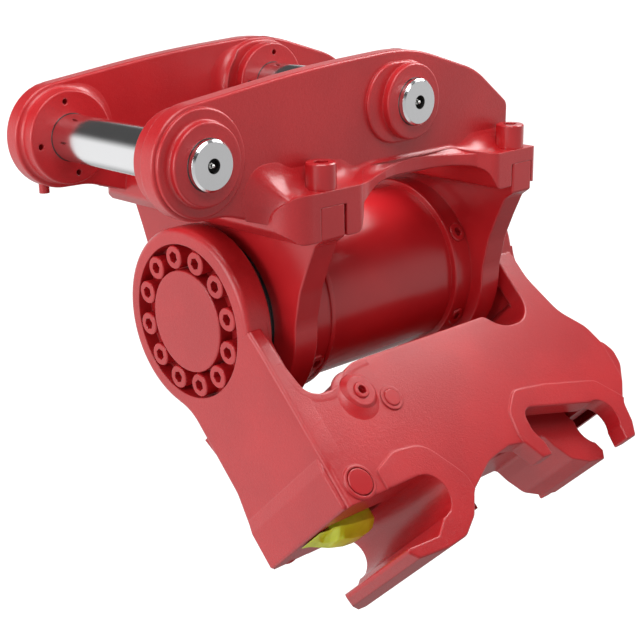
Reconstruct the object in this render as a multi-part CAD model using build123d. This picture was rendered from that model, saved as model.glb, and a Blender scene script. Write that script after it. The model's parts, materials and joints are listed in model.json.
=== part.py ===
from build123d import *
import math
import os

# An excavator quick coupler with a rotary tilt actuator: an upper bracket on two machine pins,
# a tilting lower body with a front jaw and a rear jaw, a sliding lock hook and a front latch.
# Lengths are millimetres. The origin is the centre of the arm pin, X runs along the coupler
# from the arm pin to the link pin, and Z is up. The tilt axis is level and runs along X.
os.makedirs("parts", exist_ok=True)

# Machine pins and the ears that hold them
PIN_R = 35.0
PIN_FIT = 0.05
PIN_SPAN = 400.0
PIN_RISE = 5.4
PIN_PROUD = 11.0
PIN_CHAMFER = 3.0
PIN_RECESS_R = 10.0
PIN_RECESS = 9.0
EAR_GAP = 248.0
EAR_BOSS = 26.0
EAR_R = 79.0
INNER_BOSS_R = 70.0
EAR_PAD_R = 74.0
EAR_PAD = 6.0
LINK_BOSS_R = 66.5
LINK_STEP_R = 72.0
LINK_STEP_BACK = 18.0
LINK_STEP = 10.0
COLLAR_R = 57.0
COLLAR = 18.0
LINK_PAD_R = 60.0
LINK_PAD = 6.0
LINK_PAD_BACK = 27.0
PLATE_T = 28.0
TAPPED_R = 4.5
TAPPED_DEPTH = 18.0
TAPPED_PITCH_R = 54.0
TAPPED_TURN = 8.0
LINK_TAPPED_PITCH_R = 51.0
LINK_TAPPED_TURN = -6.0
LOCK_BOLT_R = 8.0
LOCK_BOLT_X = -16.0
LOCK_HEAD_R = 13.0
LOCK_HEAD = 9.0
LOCK_TAIL = 33.0
LINK_LOCK_TAIL = 18.0
LOCK_LAND = 1.0

# Bracket base
BRACKET_BOLT_AT = 28.0
BRACKET_BOLT_OUT = 24.0
WAIST_OUT = 5.0
FLANGE_TOP = -60.0
FLANGE_RISE = 13.0
PAD_BOTTOM = -130.0
REAR_PAD_BOTTOM = -118.0
WEB_T = 26.0
PAD_AHEAD = 60.0
PAD_BEHIND = 39.0
REAR_PAD_AHEAD = 43.0
REAR_PAD_BEHIND = 14.0
FOOT_SLOT = 4.0
FOOT_FIT = 0.3
REAR_BOLT_AHEAD = 5.0
BLEND_R = 28.0
INNER_BLEND_R = 14.0
CAST_EDGE = 3.0
BOLT_SPOT = 2.0

# Bracket bolts, M30 socket head
BRACKET_BOLT_R = 15.0
BRACKET_BOLT_HEAD_R = 22.5
BRACKET_BOLT_HEAD = 38.0
BRACKET_BOLT_DEEP = 34.0

# Actuator housing, seen from its axis
AXIS_DROP = 282.5
FOOT_TOP = 200.0
FOOT_UNDER = 153.0
FRAME_T = 47.0
FRAME_R = 170.0
HOUSING_L = 475.0
BARREL_R = 140.0
BAND_R = 147.0
BEAD_R = 150.0
BEAD = 9.0
FRONT_BAND = 58.0
REAR_BAND = 43.0
BORE_R = 118.0
BEARING_T = 4.0
SEAL_T = 5.0
PLUG_R = 16.0
PLUG_PROUD = 3.0
PLUG_DEEP = 16.0
PLUG_ANGLE = 30.0
FRONT_PLUG_IN = 26.0
REAR_PLUG_IN = 17.0

# Shaft, flanges, bearings, seals and piston
DRIVE_R = 119.0
RUNNING = 0.05
SEAL = 8.0
SHAFT_R = 62.0
SHAFT_END_R = 48.0
FLANGE_DEEP = 50.0
SLEEVE_R = 95.0
SLEEVE_L = 210.0
PISTON_HEAD = 50.0
PISTON_AT = 50.0
RING_GEAR_L = 70.0
RING_GEAR_BACK = 98.0
PISTON_SEAL = 6.0

# Arms of the lower body
FRONT_ARM_X = 99.0
ARM_T = 46.0
ARM_GAP = 24.0
ARM_R = 145.0
NECK_HALF = 105.0
NECK_T = 38.0
NECK_R = 100.0
NECK_END = -255.0
NECK_CORNER_R = 22.0
TOE_HALF = 112.0
HORN_TOP = -86.0
ARM_EDGE = 9.0
FOOT_STEP = 6.0
RING_OUT_R = 120.8
HUB_R = 80.2
RING_BOLT_PITCH_R = 100.4
RING_BOLT_HEAD_R = 18.2
RING_BOLT_HEAD = 24.0
RING_BOLT_R = 12.0
RING_BOLT_DEEP = 30.0
RING_BOLTS = 12
REST_TILT = 44.2

# Lower body and its two jaws
BODY_HALF = 118.0
SIDE_T = 30.0
SKIN = 16.0
JAW_R = 35.1
FRONT_JAW_X = 239.0
JAW_Z = -417.0
JAW_SPREAD = 426.0
REAR_JAW_DROP = 4.0
JAW_WALL = 24.0
PAD_PROUD = 3.0
FRONT_PAD_R = 82.0
BODY_TOP = -183.0
DIP_Z = -213.0
LIP_CUT_Y = 40.0
KNOB_IN = 6.0
KNOB_T = 30.0
KNOB_EDGE = 5.0

# Front latch
LATCH_X = 137.0
LATCH_Z = -356.0
LATCH_HALF = 30.0
LATCH_EDGE = 2.0
LATCH_PIN_R = 12.0
LATCH_BOSS_R = 19.0
LATCH_POCKET_HALF = 42.0
LATCH_PLUG_R = 20.5
LATCH_PLUG_LAND = 7.0
LATCH_PLUG = 10.0
LATCH_SPRING_R = 15.5
SPRING_WIRE_R = 1.6

# Lock hook, its rails and its cylinder
RAIL_T = 19.7
HOOK_TOP = -300.0
HOOK_BOTTOM = -396.0
HOOK_BACK_X = 430.0
HOOK_MOUTH_R = 38.0
HOOK_PAST = 30.0
HOOK_FIT = 0.3
RAIL_HIGH = 44.0
TONGUE = 8.0
TONGUE_HIGH = 22.0
RAIL_L = 280.0
RAIL_END = 34.0
RAIL_SCREW_R = 6.0
RAIL_SCREW_HEAD_R = 9.5
RAIL_SCREW_HEAD = 8.0
LOCK_STROKE = 110.0
LOCK_Z = -258.0
BASE_PIN_X = 275.0
BASE_PIN_R = 14.0
EYE_R = 24.0
EYE_HALF = 20.0
TUBE_R = 35.0
TUBE_BORE_R = 28.0
TUBE_END = 12.0
PISTON_T = 20.0
GLAND = 15.0
ROD_R = 18.0
LUG_T = 40.0
LUG_HALF = 30.0
LUG_TOP = -236.0
ROD_PIN_R = 10.0

# Small fittings on the lower body
PORT_X = 222.0
PORT_Z = -233.0
PORT_BOSS_R = 24.0
PORT_PROUD = 9.0
PORT_HOLE_R = 7.0
NIPPLE_R = 4.0
NIPPLE_H = 9.0
BODY_NIPPLE_R = 6.0
NIPPLE_Y = -40.0

# Places that follow from the sizes above
link_x = PIN_SPAN * math.cos(math.radians(PIN_RISE))
link_z = PIN_SPAN * math.sin(math.radians(PIN_RISE))
ear_in = EAR_GAP / 2
plate_in = ear_in + EAR_BOSS
plate_out = plate_in + PLATE_T
collar_out = plate_out + COLLAR
pin_end = collar_out + PIN_PROUD
lock_y = plate_out + COLLAR / 2
lock_places = ((0.0, 0.0, LOCK_TAIL), (link_x, link_z, LINK_LOCK_TAIL))
tapped_circles = (
    (0.0, 0.0, TAPPED_PITCH_R, TAPPED_TURN),
    (link_x, link_z, LINK_TAPPED_PITCH_R, LINK_TAPPED_TURN),
)
arm_in = FRONT_ARM_X + ARM_T
neck_in = FRONT_ARM_X + NECK_T
frame_0 = arm_in + ARM_GAP
frame_1 = frame_0 + HOUSING_L
rear_arm_x = frame_1 + ARM_GAP
rear_arm_out = rear_arm_x + ARM_T
foot_z = FOOT_TOP - AXIS_DROP
rear_jaw_x = FRONT_JAW_X + JAW_SPREAD
rear_jaw_z = JAW_Z - REAR_JAW_DROP
side_in = BODY_HALF - SIDE_T
hook_half = side_in - RAIL_T - HOOK_FIT
bolt_y = plate_out + BRACKET_BOLT_AT
flange_half = bolt_y + BRACKET_BOLT_OUT
waist_half = plate_out + WAIST_OUT
seat_r = DRIVE_R + BEARING_T
seal_r = DRIVE_R + SEAL_T
bolt_xs = (frame_0 + FRAME_T / 2, frame_1 - FRAME_T / 2 - REAR_BOLT_AHEAD)
tube_0 = BASE_PIN_X + EYE_R - 4.0
tube_1 = tube_0 + TUBE_END + PISTON_T + LOCK_STROKE + 4.0
gland_1 = tube_1 + GLAND
lug_0 = gland_1 + LOCK_STROKE + 10.0
lug_1 = lug_0 + LUG_T
nipple_seat_x = FRONT_JAW_X + JAW_R + JAW_WALL - 1.5


def outline(corners):
    """A closed face in the XZ plane from (x, z, r) corners, each rounded with radius r."""
    points = [Vector(x, 0, z) for x, z, r in corners]
    count = len(points)
    halves = []
    for i in range(count):
        turn = (points[i - 1] - points[i]).get_angle(points[(i + 1) % count] - points[i])
        halves.append(math.radians(turn) / 2)
    wants = [max(corners[i][2] / math.tan(halves[i]), 1e-6) for i in range(count)]
    spans = []
    for i in range(count):
        after_i = (i + 1) % count
        before = points[i - 1] - points[i]
        after = points[after_i] - points[i]
        half = halves[i]
        room_before = before.length * wants[i] / (wants[i] + wants[i - 1])
        room_after = after.length * wants[i] / (wants[i] + wants[after_i])
        reach = min(wants[i], room_before, room_after)
        if reach < 0.1:
            spans.append((points[i], None, points[i]))
            continue
        radius = reach * math.tan(half)
        inward = (before.normalized() + after.normalized()).normalized()
        middle = points[i] + inward * (radius / math.sin(half) - radius)
        start = points[i] + before.normalized() * reach
        spans.append((start, middle, points[i] + after.normalized() * reach))
    edges = []
    for i, (start, middle, end) in enumerate(spans):
        if middle is not None:
            edges.append(Edge.make_three_point_arc(start, middle, end))
        following = spans[(i + 1) % count][0]
        if (following - end).length > 1e-4:
            edges.append(Edge.make_line(end, following))
    return Face(Wire(edges))


def along_y(corners, y0, y1):
    """The XZ outline, pulled along Y from y0 to y1."""
    return Solid.extrude(Pos(0, y0, 0) * outline(corners), Vector(0, y1 - y0, 0))


def along_x(corners, x0, x1):
    """An outline of (y, z, r) corners, pulled along X from x0 to x1."""
    return Solid.extrude(Pos(x0, 0, 0) * Rot(0, 0, 90) * outline(corners), Vector(x1 - x0, 0, 0))


def along_z(corners, z0, z1):
    """An outline of (x, y, r) corners, pulled along Z from z0 to z1."""
    return Solid.extrude(Pos(0, 0, z0) * Rot(-90, 0, 0) * outline(corners), Vector(0, 0, z1 - z0))


def round_x(radius, x0, x1, y=0.0, z=0.0):
    return Pos((x0 + x1) / 2, y, z) * Rot(0, 90, 0) * Cylinder(radius, abs(x1 - x0))


def round_y(radius, y0, y1, x=0.0, z=0.0):
    return Pos(x, (y0 + y1) / 2, z) * Rot(90, 0, 0) * Cylinder(radius, abs(y1 - y0))


def round_z(radius, z0, z1, x=0.0, y=0.0):
    return Pos(x, y, (z0 + z1) / 2) * Cylinder(radius, abs(z1 - z0))


def block(x0, x1, y0, y1, z0, z1):
    return Pos((x0 + x1) / 2, (y0 + y1) / 2, (z0 + z1) / 2) * Box(x1 - x0, y1 - y0, z1 - z0)


def hexagon_z(radius, z0, z1, x=0.0, y=0.0):
    """An upright hexagonal bar, used for socket recesses and nuts."""
    return Pos(x, y, z0) * extrude(RegularPolygon(radius, 6), z1 - z0)


def eased(shape, axis, radius):
    """Rounds the outline of the shape's faces square to an axis."""
    return fillet(shape.faces().filter_by(axis).edges(), radius)


def both_sides(shape):
    return shape + mirror(shape, about=Plane.XZ)


def turned(profile):
    """A solid of revolution about X, from (x, r) points."""
    return revolve(Plane.XZ * make_face(Polyline(*profile, close=True)), axis=Axis.X)


def tangent_corner(radius, x, z, side):
    """The corner from which a line through (x, z) runs tangent to the arm pin's ear."""
    bearing = math.atan2(z, x) + side * math.acos(radius / math.hypot(x, z))
    return (radius * math.cos(bearing), radius * math.sin(bearing), 0)


def save(name, *shapes):
    solids = [solid for shape in shapes for solid in shape.solids()]
    whole = solids[0] if len(solids) == 1 else Compound(children=solids)
    export_step(whole, "parts/" + name + ".step")


def tilted(shape):
    """Takes a piece of the lower half from its upright frame to its place at rest."""
    return Pos(0, 0, -AXIS_DROP) * Rot(-REST_TILT, 0, 0) * shape


def socket_screw(head_r, head, shank_r, shank):
    """A socket head screw that points down, with the underside of its head at the origin."""
    body = round_z(head_r, 0, head) + round_z(shank_r, -shank, 0)
    body = chamfer(body.edges().group_by(Axis.Z)[-1], head_r * 0.08)
    return body - hexagon_z(head_r * 0.52, head * 0.45, head + 1)


def upper_bracket():
    """The casting with two ear plates on a waisted base."""
    top = [
        (link_x / 2 + 1, EAR_R + 26, 2500),
        (link_x + 12, link_z + 79, 300),
        (link_x + 165, link_z + 31, 150),
        (frame_1 - 1, FLANGE_TOP + 68, 16),
        (frame_1 - 2, FLANGE_TOP - 10, 0),
        (frame_0 - 10, FLANGE_TOP - 10, 0),
        (frame_0 - 10, FLANGE_TOP - 42, 0),
    ]
    low = [(frame_0 - PAD_AHEAD + 4, FLANGE_TOP - 42, 0), (INNER_BOSS_R - 28, FLANGE_TOP - 20, 90)]
    start = tangent_corner(EAR_R, top[0][0], top[0][1], 1)
    end = tangent_corner(EAR_R, low[1][0], low[1][1], -1)
    plate = along_y([start] + top + low + [end], plate_in, plate_out)
    plate = plate + round_y(EAR_R, plate_in, plate_out)
    plate = eased(plate, Axis.Y, CAST_EDGE + 1)
    plate = plate + eased(round_y(INNER_BOSS_R, ear_in, plate_in + 6), Axis.Y, CAST_EDGE)
    link_boss = round_y(LINK_BOSS_R, ear_in, plate_in + 6, link_x, link_z)
    plate = plate + eased(link_boss, Axis.Y, CAST_EDGE)
    step = stadium(LINK_STEP_R, LINK_STEP_BACK)
    plate = plate + eased(along_y(step, plate_in - LINK_STEP, plate_in + 6), Axis.Y, CAST_EDGE + 2)
    pad = stadium(LINK_PAD_R, LINK_PAD_BACK)
    plate = plate + eased(along_y(pad, plate_out - 5, plate_out + LINK_PAD), Axis.Y, CAST_EDGE)
    ear_pad = round_y(EAR_PAD_R, plate_out - 5, plate_out + EAR_PAD)
    plate = plate + eased(ear_pad, Axis.Y, CAST_EDGE)
    for x, z in ((0.0, 0.0), (link_x, link_z)):
        plate = plate + eased(round_y(COLLAR_R, plate_out - 6, collar_out, x, z), Axis.Y, CAST_EDGE)
    plate = plate + foot_ring(COLLAR_R, plate_out + EAR_PAD, 0.0, 0.0)
    return on_base(both_sides(plate))


def stadium(radius, back):
    """Corners of a long round pad about the link pin, which reaches back towards the arm pin."""
    low, high = link_z - radius, link_z + radius
    left, right = link_x - back - radius, link_x + radius
    return [(x, z, radius) for x, z in ((left, low), (right, low), (right, high), (left, high))]


def foot_ring(radius, y, x, z):
    """The concave cast fillet round the foot of a collar that stands on a face at y."""
    size = CAST_EDGE + 1
    profile = [
        (radius - 1, -1, 0),
        (radius + size, -1, 0),
        (radius + size, 0, 0),
        (radius, 0, size - 0.2),
        (radius, size, 0),
        (radius - 1, size, 0),
    ]
    ring_shape = revolve(outline(profile), axis=Axis.Z)
    return Pos(x, y, z) * Rot(-90, 0, 0) * ring_shape


def blend_strip(y, z, side, radius, x0, x1):
    """A concave cast fillet along X, in the corner between an upright face at y and a floor at z."""
    corners = [
        (y - side, z - 1, 0),
        (y + side * radius, z - 1, 0),
        (y + side * radius, z, 0),
        (y, z, radius - 0.2),
        (y, z + radius, 0),
        (y - side, z + radius, 0),
    ]
    return along_x(corners, x0, x1)


def on_base(plates):
    """Sets the plates on the base, and cuts the bores and holes."""
    x0 = frame_0 - PAD_AHEAD
    x1 = frame_0 + FRAME_T + PAD_BEHIND
    x2 = frame_1 - FRAME_T - REAR_PAD_AHEAD
    x3 = frame_1 + REAR_PAD_BEHIND
    slot_0 = frame_0 + FRAME_T + FOOT_SLOT
    slot_1 = frame_1 - FRAME_T - FOOT_SLOT
    web_top = FLANGE_TOP + FLANGE_RISE
    web_low = web_top - WEB_T
    profile = [
        (x0, FLANGE_TOP, 30),
        (x1, FLANGE_TOP, 90),
        (x1 + 60, web_top, 90),
        (x2 - 60, web_top, 90),
        (x2, FLANGE_TOP, 90),
        (x3, FLANGE_TOP, 8),
        (x3, REAR_PAD_BOTTOM, 5),
        (frame_1 + FOOT_FIT, REAR_PAD_BOTTOM, 2),
        (frame_1 + FOOT_FIT, foot_z, 0),
        (slot_1, foot_z, 2),
        (slot_1, REAR_PAD_BOTTOM, 3),
        (x2 + 6, REAR_PAD_BOTTOM, 12),
        (x2 - 12, web_low - 8, 25),
        (x2 - 70, web_low, 60),
        (x1 + 70, web_low, 60),
        (x1 + 12, web_low - 8, 25),
        (x1 - 6, PAD_BOTTOM, 14),
        (slot_0, PAD_BOTTOM, 3),
        (slot_0, foot_z, 2),
        (frame_0 - FOOT_FIT, foot_z, 0),
        (frame_0 - FOOT_FIT, PAD_BOTTOM, 3),
        (x0 + 26, PAD_BOTTOM, 8),
        (x0, PAD_BOTTOM + 20, 10),
    ]
    plan = [
        (x0 - 1, -flange_half, 45),
        (x1, -flange_half, 20),
        (x1 + 42, -waist_half, 50),
        (x2 - 42, -waist_half, 50),
        (x2, -flange_half, 20),
        (x3 + 1, -flange_half, 14),
    ]
    plan = plan + [(x, -y, r) for x, y, r in reversed(plan)]
    base = along_y(profile, -flange_half - 1, flange_half + 1)
    base = base & along_z(plan, PAD_BOTTOM - 1, web_top + 1)
    whole = plates + base
    strip_spans = ((x0 + 6, x1 + 4), (x2 - 4, frame_1 - 8))
    for start, end in strip_spans:
        strip = blend_strip(plate_out, FLANGE_TOP, 1, BLEND_R, start, end)
        strip = strip + blend_strip(plate_in, FLANGE_TOP, -1, INNER_BLEND_R, start, end)
        whole = whole + both_sides(strip)
    for x in bolt_xs:
        spot = round_z(BRACKET_BOLT_HEAD_R + BOLT_SPOT, FLANGE_TOP, FLANGE_TOP + 60, x, bolt_y)
        whole = whole - both_sides(spot)
    for x, z, _ in lock_places:
        whole = whole + lock_land(x, z)
        whole = whole - round_y(PIN_R + PIN_FIT, -pin_end, pin_end, x, z)
        bolt_x = x + LOCK_BOLT_X
        whole = whole - round_z(LOCK_BOLT_R, z - EAR_R, z + EAR_R, bolt_x, lock_y)
        whole = whole - lock_notches(x, z)
    for x, z, pitch_r, turn in tapped_circles:
        for quarter in range(4):
            angle = math.radians(90 * quarter + turn)
            hole_x = x + pitch_r * math.cos(angle)
            hole_z = z + pitch_r * math.sin(angle)
            hole = round_y(TAPPED_R, ear_in - 1, ear_in + TAPPED_DEPTH, hole_x, hole_z)
            whole = whole - both_sides(hole)
    for x in bolt_xs:
        hole = round_z(BRACKET_BOLT_R, foot_z - 1, FLANGE_TOP + 30, x, bolt_y)
        whole = whole - both_sides(hole)
    return whole


def lock_land(x, z):
    """Flat lands above and below a far collar for its cross bolt's head and nut."""
    reach = COLLAR_R + LOCK_LAND
    half = LOCK_HEAD_R + 1
    middle = x + LOCK_BOLT_X
    return block(middle - half, middle + half, plate_out - 1, collar_out - 1, z - reach, z + reach)


def lock_notches(x, z):
    """Room for the cross bolt's head and nut beside the ear plate."""
    reach = COLLAR_R + LOCK_LAND
    bolt_x = x + LOCK_BOLT_X
    upper = round_z(LOCK_HEAD_R + 1, z + reach, z + EAR_R + 2, bolt_x, lock_y)
    lower = round_z(LOCK_HEAD_R + 1, z - EAR_R - 2, z - reach, bolt_x, lock_y)
    return upper + lower


def machine_pin(x, z):
    """A pin with chamfered ends and a recess for the nipple in each end."""
    pin = round_y(PIN_R, -pin_end, pin_end, x, z)
    pin = chamfer(pin.edges().filter_by(GeomType.CIRCLE), PIN_CHAMFER)
    recess = round_y(PIN_RECESS_R, pin_end - PIN_RECESS, pin_end + 1, x, z)
    cross = round_z(LOCK_BOLT_R, z - PIN_R, z + PIN_R, x + LOCK_BOLT_X, lock_y)
    return pin - both_sides(recess) - cross


def nipple(seat_r):
    """A grease nipple that points up from the origin."""
    body = round_z(seat_r, 0, 3) + round_z(seat_r * 0.6, 3, NIPPLE_H - 2)
    return body + Pos(0, 0, NIPPLE_H - 2.6) * Sphere(seat_r * 0.72)


def pin_nipples(x, z):
    up = Pos(x, pin_end - PIN_RECESS, z) * Rot(-90, 0, 0) * nipple(NIPPLE_R)
    return [up, mirror(up, about=Plane.XZ)]


def pin_lock_bolt(x, z, tail):
    top = z + COLLAR_R + LOCK_LAND
    bolt_x = x + LOCK_BOLT_X
    head = hexagon_z(LOCK_HEAD_R, top, top + LOCK_HEAD, bolt_x, lock_y)
    return head + round_z(LOCK_BOLT_R, z - COLLAR_R - tail, top, bolt_x, lock_y)


def pin_lock_nut(x, z):
    low = z - COLLAR_R - LOCK_LAND
    bolt_x = x + LOCK_BOLT_X
    nut = hexagon_z(LOCK_HEAD_R, low - LOCK_HEAD, low, bolt_x, lock_y)
    return nut - round_z(LOCK_BOLT_R, low - LOCK_HEAD - 1, low + 1, bolt_x, lock_y)


def bracket_bolts():
    shank = FLANGE_TOP - foot_z + BRACKET_BOLT_DEEP
    screw = socket_screw(BRACKET_BOLT_HEAD_R, BRACKET_BOLT_HEAD, BRACKET_BOLT_R, shank)
    return [Pos(x, side * bolt_y, FLANGE_TOP) * screw for x in bolt_xs for side in (-1, 1)]


def end_frame(x0):
    """One end frame of the housing: a round end that flares up to two bolted feet."""
    flank = [
        (flange_half, FOOT_TOP, 0),
        (flange_half, FOOT_UNDER, 5),
        (flange_half - 15, FOOT_UNDER - 11, 12),
        (FRAME_R + 28, FOOT_UNDER - 48, 60),
        (FRAME_R + 12, FOOT_UNDER - 87, 80),
        (FRAME_R, 12, 90),
        (FRAME_R, -FRAME_R, FRAME_R),
    ]
    corners = flank + [(-y, z, r) for y, z, r in reversed(flank)]
    frame = along_x(corners, x0, x0 + FRAME_T)
    rim = [edge for edge in frame.faces().filter_by(Axis.X).edges() if edge.center().Z < FOOT_TOP - 1]
    return fillet(rim, CAST_EDGE)


def plug_places():
    """Frames whose Z points outward along each plug's axis."""
    places = []
    front_x = frame_0 + FRAME_T + FRONT_BAND - FRONT_PLUG_IN
    for x in (front_x, frame_1 - FRAME_T - REAR_PLUG_IN):
        for angle in (PLUG_ANGLE, -PLUG_ANGLE, 180 - PLUG_ANGLE, 180 + PLUG_ANGLE):
            places.append(Pos(x, 0, 0) * Rot(angle - 90, 0, 0))
    return places


def actuator_housing():
    band_0 = frame_0 + FRAME_T + FRONT_BAND
    band_1 = frame_1 - FRAME_T - REAR_BAND
    body = round_x(BARREL_R, frame_0 + 1, frame_1 - 1)
    body = body + round_x(BAND_R, frame_0 + 1, band_0) + round_x(BAND_R, band_1, frame_1 - 1)
    for x in (band_0 - BEAD, band_1):
        bead = round_x(BEAD_R, x, x + BEAD)
        body = body + fillet(bead.edges().filter_by(GeomType.CIRCLE), 2.0)
    body = body + end_frame(frame_0) + end_frame(frame_1 - FRAME_T)
    body = body - round_x(BORE_R, frame_0 - 1, frame_1 + 1)
    body = body - round_x(seat_r, frame_0 + SEAL, frame_0 + FRAME_T)
    body = body - round_x(seat_r, frame_1 - FRAME_T, frame_1 - SEAL)
    body = body - round_x(seal_r, frame_0 - 1, frame_0 + SEAL)
    body = body - round_x(seal_r, frame_1 - SEAL, frame_1 + 1)
    for x in bolt_xs:
        hole = round_z(BRACKET_BOLT_R, FOOT_TOP - BRACKET_BOLT_DEEP, FOOT_TOP + 1, x, bolt_y)
        body = body - both_sides(hole)
    for place in plug_places():
        body = body - place * round_z(PLUG_R, BAND_R - PLUG_DEEP, BAND_R + 20)
    return body


def housing_plugs():
    plug = round_z(PLUG_R, BAND_R - PLUG_DEEP, BAND_R + PLUG_PROUD)
    plug = chamfer(plug.edges().group_by(Axis.Z)[-1], 1.5)
    plug = plug - hexagon_z(PLUG_R * 0.5, BAND_R - 7, BAND_R + PLUG_PROUD + 1)
    return [place * plug for place in plug_places()]


def ring(outer, inner, x0, x1):
    return round_x(outer, x0, x1) - round_x(inner, x0 - 1, x1 + 1)


def ring_bolt_places(x, out):
    """Where the ring bolts sit; out is -1 at the front arm and 1 at the rear arm."""
    places = []
    for i in range(RING_BOLTS):
        turn = Rot(360 * i / RING_BOLTS, 0, 0)
        places.append(turn * Pos(x, 0, RING_BOLT_PITCH_R) * Rot(0, 90 * out, 0))
    return places


def ring_bolts(x, out):
    screw = socket_screw(
        RING_BOLT_HEAD_R, RING_BOLT_HEAD, RING_BOLT_R, ARM_T - RING_BOLT_HEAD + RING_BOLT_DEEP
    )
    return [tilted(place * screw) for place in ring_bolt_places(x, out)]


def drill_ring(shape, x, out, radius, depth):
    for place in ring_bolt_places(x, out):
        shape = shape - place * round_z(radius, -depth, 1)
    return shape


def actuator_shaft():
    """The shaft with its front drive flange, stepped down at the rear for the end flange."""
    flange_1 = arm_in + FLANGE_DEEP
    end_0 = rear_arm_x - FLANGE_DEEP
    shaft = turned(
        [
            (arm_in, 0),
            (arm_in, DRIVE_R),
            (flange_1, DRIVE_R),
            (flange_1, SHAFT_R + 12),
            (flange_1 + 12, SHAFT_R),
            (end_0, SHAFT_R),
            (end_0, SHAFT_END_R),
            (rear_arm_x - 6, SHAFT_END_R),
            (rear_arm_x - 6, 0),
        ]
    )
    return tilted(drill_ring(shaft, arm_in, -1, RING_BOLT_R, RING_BOLT_DEEP))


def shaft_end_flange():
    flange = ring(DRIVE_R, SHAFT_END_R, rear_arm_x - FLANGE_DEEP, rear_arm_x)
    return tilted(drill_ring(flange, rear_arm_x, 1, RING_BOLT_R, RING_BOLT_DEEP))


def hub_disc(x, out):
    disc = round_x(HUB_R, x, x - out * ARM_T)
    rim = disc.edges().filter_by(GeomType.CIRCLE).sort_by(Axis.X)
    disc = fillet([rim[-1] if out > 0 else rim[0]], 2.5)
    return tilted(disc)


def piston_sleeve():
    """Piston head with its splined sleeve; the seals sit in the head's grooves."""
    x = arm_in + FLANGE_DEEP + PISTON_AT
    sleeve = round_x(BORE_R - RUNNING, x, x + PISTON_HEAD)
    sleeve = sleeve + round_x(SLEEVE_R, x, x + PISTON_HEAD + SLEEVE_L)
    sleeve = sleeve - round_x(SHAFT_R + RUNNING, x - 1, x + PISTON_HEAD + SLEEVE_L + 1)
    for seal_x in piston_seal_xs():
        sleeve = sleeve - ring(BORE_R + 1, BORE_R - PISTON_SEAL, seal_x, seal_x + PISTON_SEAL)
    return tilted(sleeve)


def piston_seal_xs():
    x = arm_in + FLANGE_DEEP + PISTON_AT
    return (x + 10, x + PISTON_HEAD - 10 - PISTON_SEAL)


def piston_seals():
    return [
        tilted(ring(BORE_R - RUNNING, BORE_R - PISTON_SEAL, x, x + PISTON_SEAL))
        for x in piston_seal_xs()
    ]


def body_outline():
    """The side of the lower body, round from the front arm along its top and back below."""
    rear_x, rear_z = rear_jaw_x, rear_jaw_z
    return [
        (arm_in - 20, DIP_Z, 0),
        (FRONT_JAW_X - 47, DIP_Z, 30),
        (FRONT_JAW_X - 8, DIP_Z + 13, 14),
        (FRONT_JAW_X + 12, BODY_TOP, 24),
        (rear_arm_x - 117, BODY_TOP, 16),
        (rear_arm_x - 88, DIP_Z, 55),
        (rear_arm_x - 8, DIP_Z, 45),
        (rear_arm_x - 8, HORN_TOP, 3),
        (rear_arm_x + 35, HORN_TOP, 3),
        (rear_arm_x + 34, DIP_Z + 70, 90),
        (rear_x + 60, DIP_Z - 5, 70),
        (rear_x + 101, DIP_Z - 49, 50),
        (rear_x + 114, DIP_Z - 88, 30),
        (rear_x + 108, rear_z + 50, 26),
        (rear_x + 70, rear_z + 9, 22),
        (rear_x + 62, rear_z - 24, 10),
        (rear_x + 48, rear_z - 48, 6),
        (rear_x + 23, rear_z - 48, 3),
        (rear_x + 28, rear_z - 21.5, 0),
        (rear_x - 7, rear_z + 34.4, 0),
        (rear_x - 157, rear_z + 71, 18),
        (rear_x - 163, rear_z + 32, 20),
        (rear_x - 153, rear_z + 5, 16),
        (rear_x - 153, rear_z - 17, 2),
        (rear_x - 175, rear_z - 15, 6),
        (rear_x - 195, rear_z + 20, 12),
        (rear_x - 225, rear_z + 25, 25),
        (FRONT_JAW_X + 146, JAW_Z + 12, 50),
        (FRONT_JAW_X + 83, JAW_Z - 20, 24),
        (FRONT_JAW_X + 57, JAW_Z - 52, 24),
        (FRONT_JAW_X + 23, JAW_Z - 73, 24),
        (FRONT_JAW_X - 17, JAW_Z - 77, 30),
        (FRONT_JAW_X - 78, JAW_Z - 72, 8),
        (FRONT_JAW_X - 103, JAW_Z - 47, 6),
        (FRONT_JAW_X - 84, JAW_Z - 52, 6),
        (FRONT_JAW_X - 26, JAW_Z - 55, 8),
        (FRONT_JAW_X, JAW_Z - JAW_R, 3),
        (FRONT_JAW_X + 18, JAW_Z - 30, 0),
        (FRONT_JAW_X, JAW_Z + JAW_R, 0),
        (arm_in - 20, JAW_Z + JAW_R, 0),
    ]


def arm_outline(foot_half, bottom):
    """Front view of an arm below its round boss, as (y, z, r) corners."""
    centre_y = NECK_HALF + NECK_R
    drop = math.sqrt((ARM_R + NECK_R) ** 2 - centre_y**2)
    share = ARM_R / (ARM_R + NECK_R)
    touch_y, touch_z = share * centre_y, -share * drop
    corner_z = touch_z - (touch_y - NECK_HALF) * centre_y / drop
    side = [
        (touch_y, touch_z, 0),
        (NECK_HALF, corner_z, 0.8 * NECK_R),
        (NECK_HALF, NECK_END, 40),
        (foot_half, NECK_END - 50, 20),
        (foot_half, bottom, 0),
    ]
    return side + [(-y, z, r) for y, z, r in reversed(side)]


def side_edges(face):
    """The upright edges of an arm's face, without its top and bottom edges."""
    return [edge for edge in face.edges() if abs(edge.center().Y) > NECK_HALF / 2]


def arm_boss(x0, x1, out):
    """The round end of an arm, with a rounded outer rim and the sunk ring for its bolts."""
    boss = round_x(ARM_R, x0, x1)
    rims = boss.edges().filter_by(GeomType.CIRCLE).sort_by(Axis.X)
    boss = fillet([rims[-1] if out > 0 else rims[0]], 10.0)
    return boss


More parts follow.
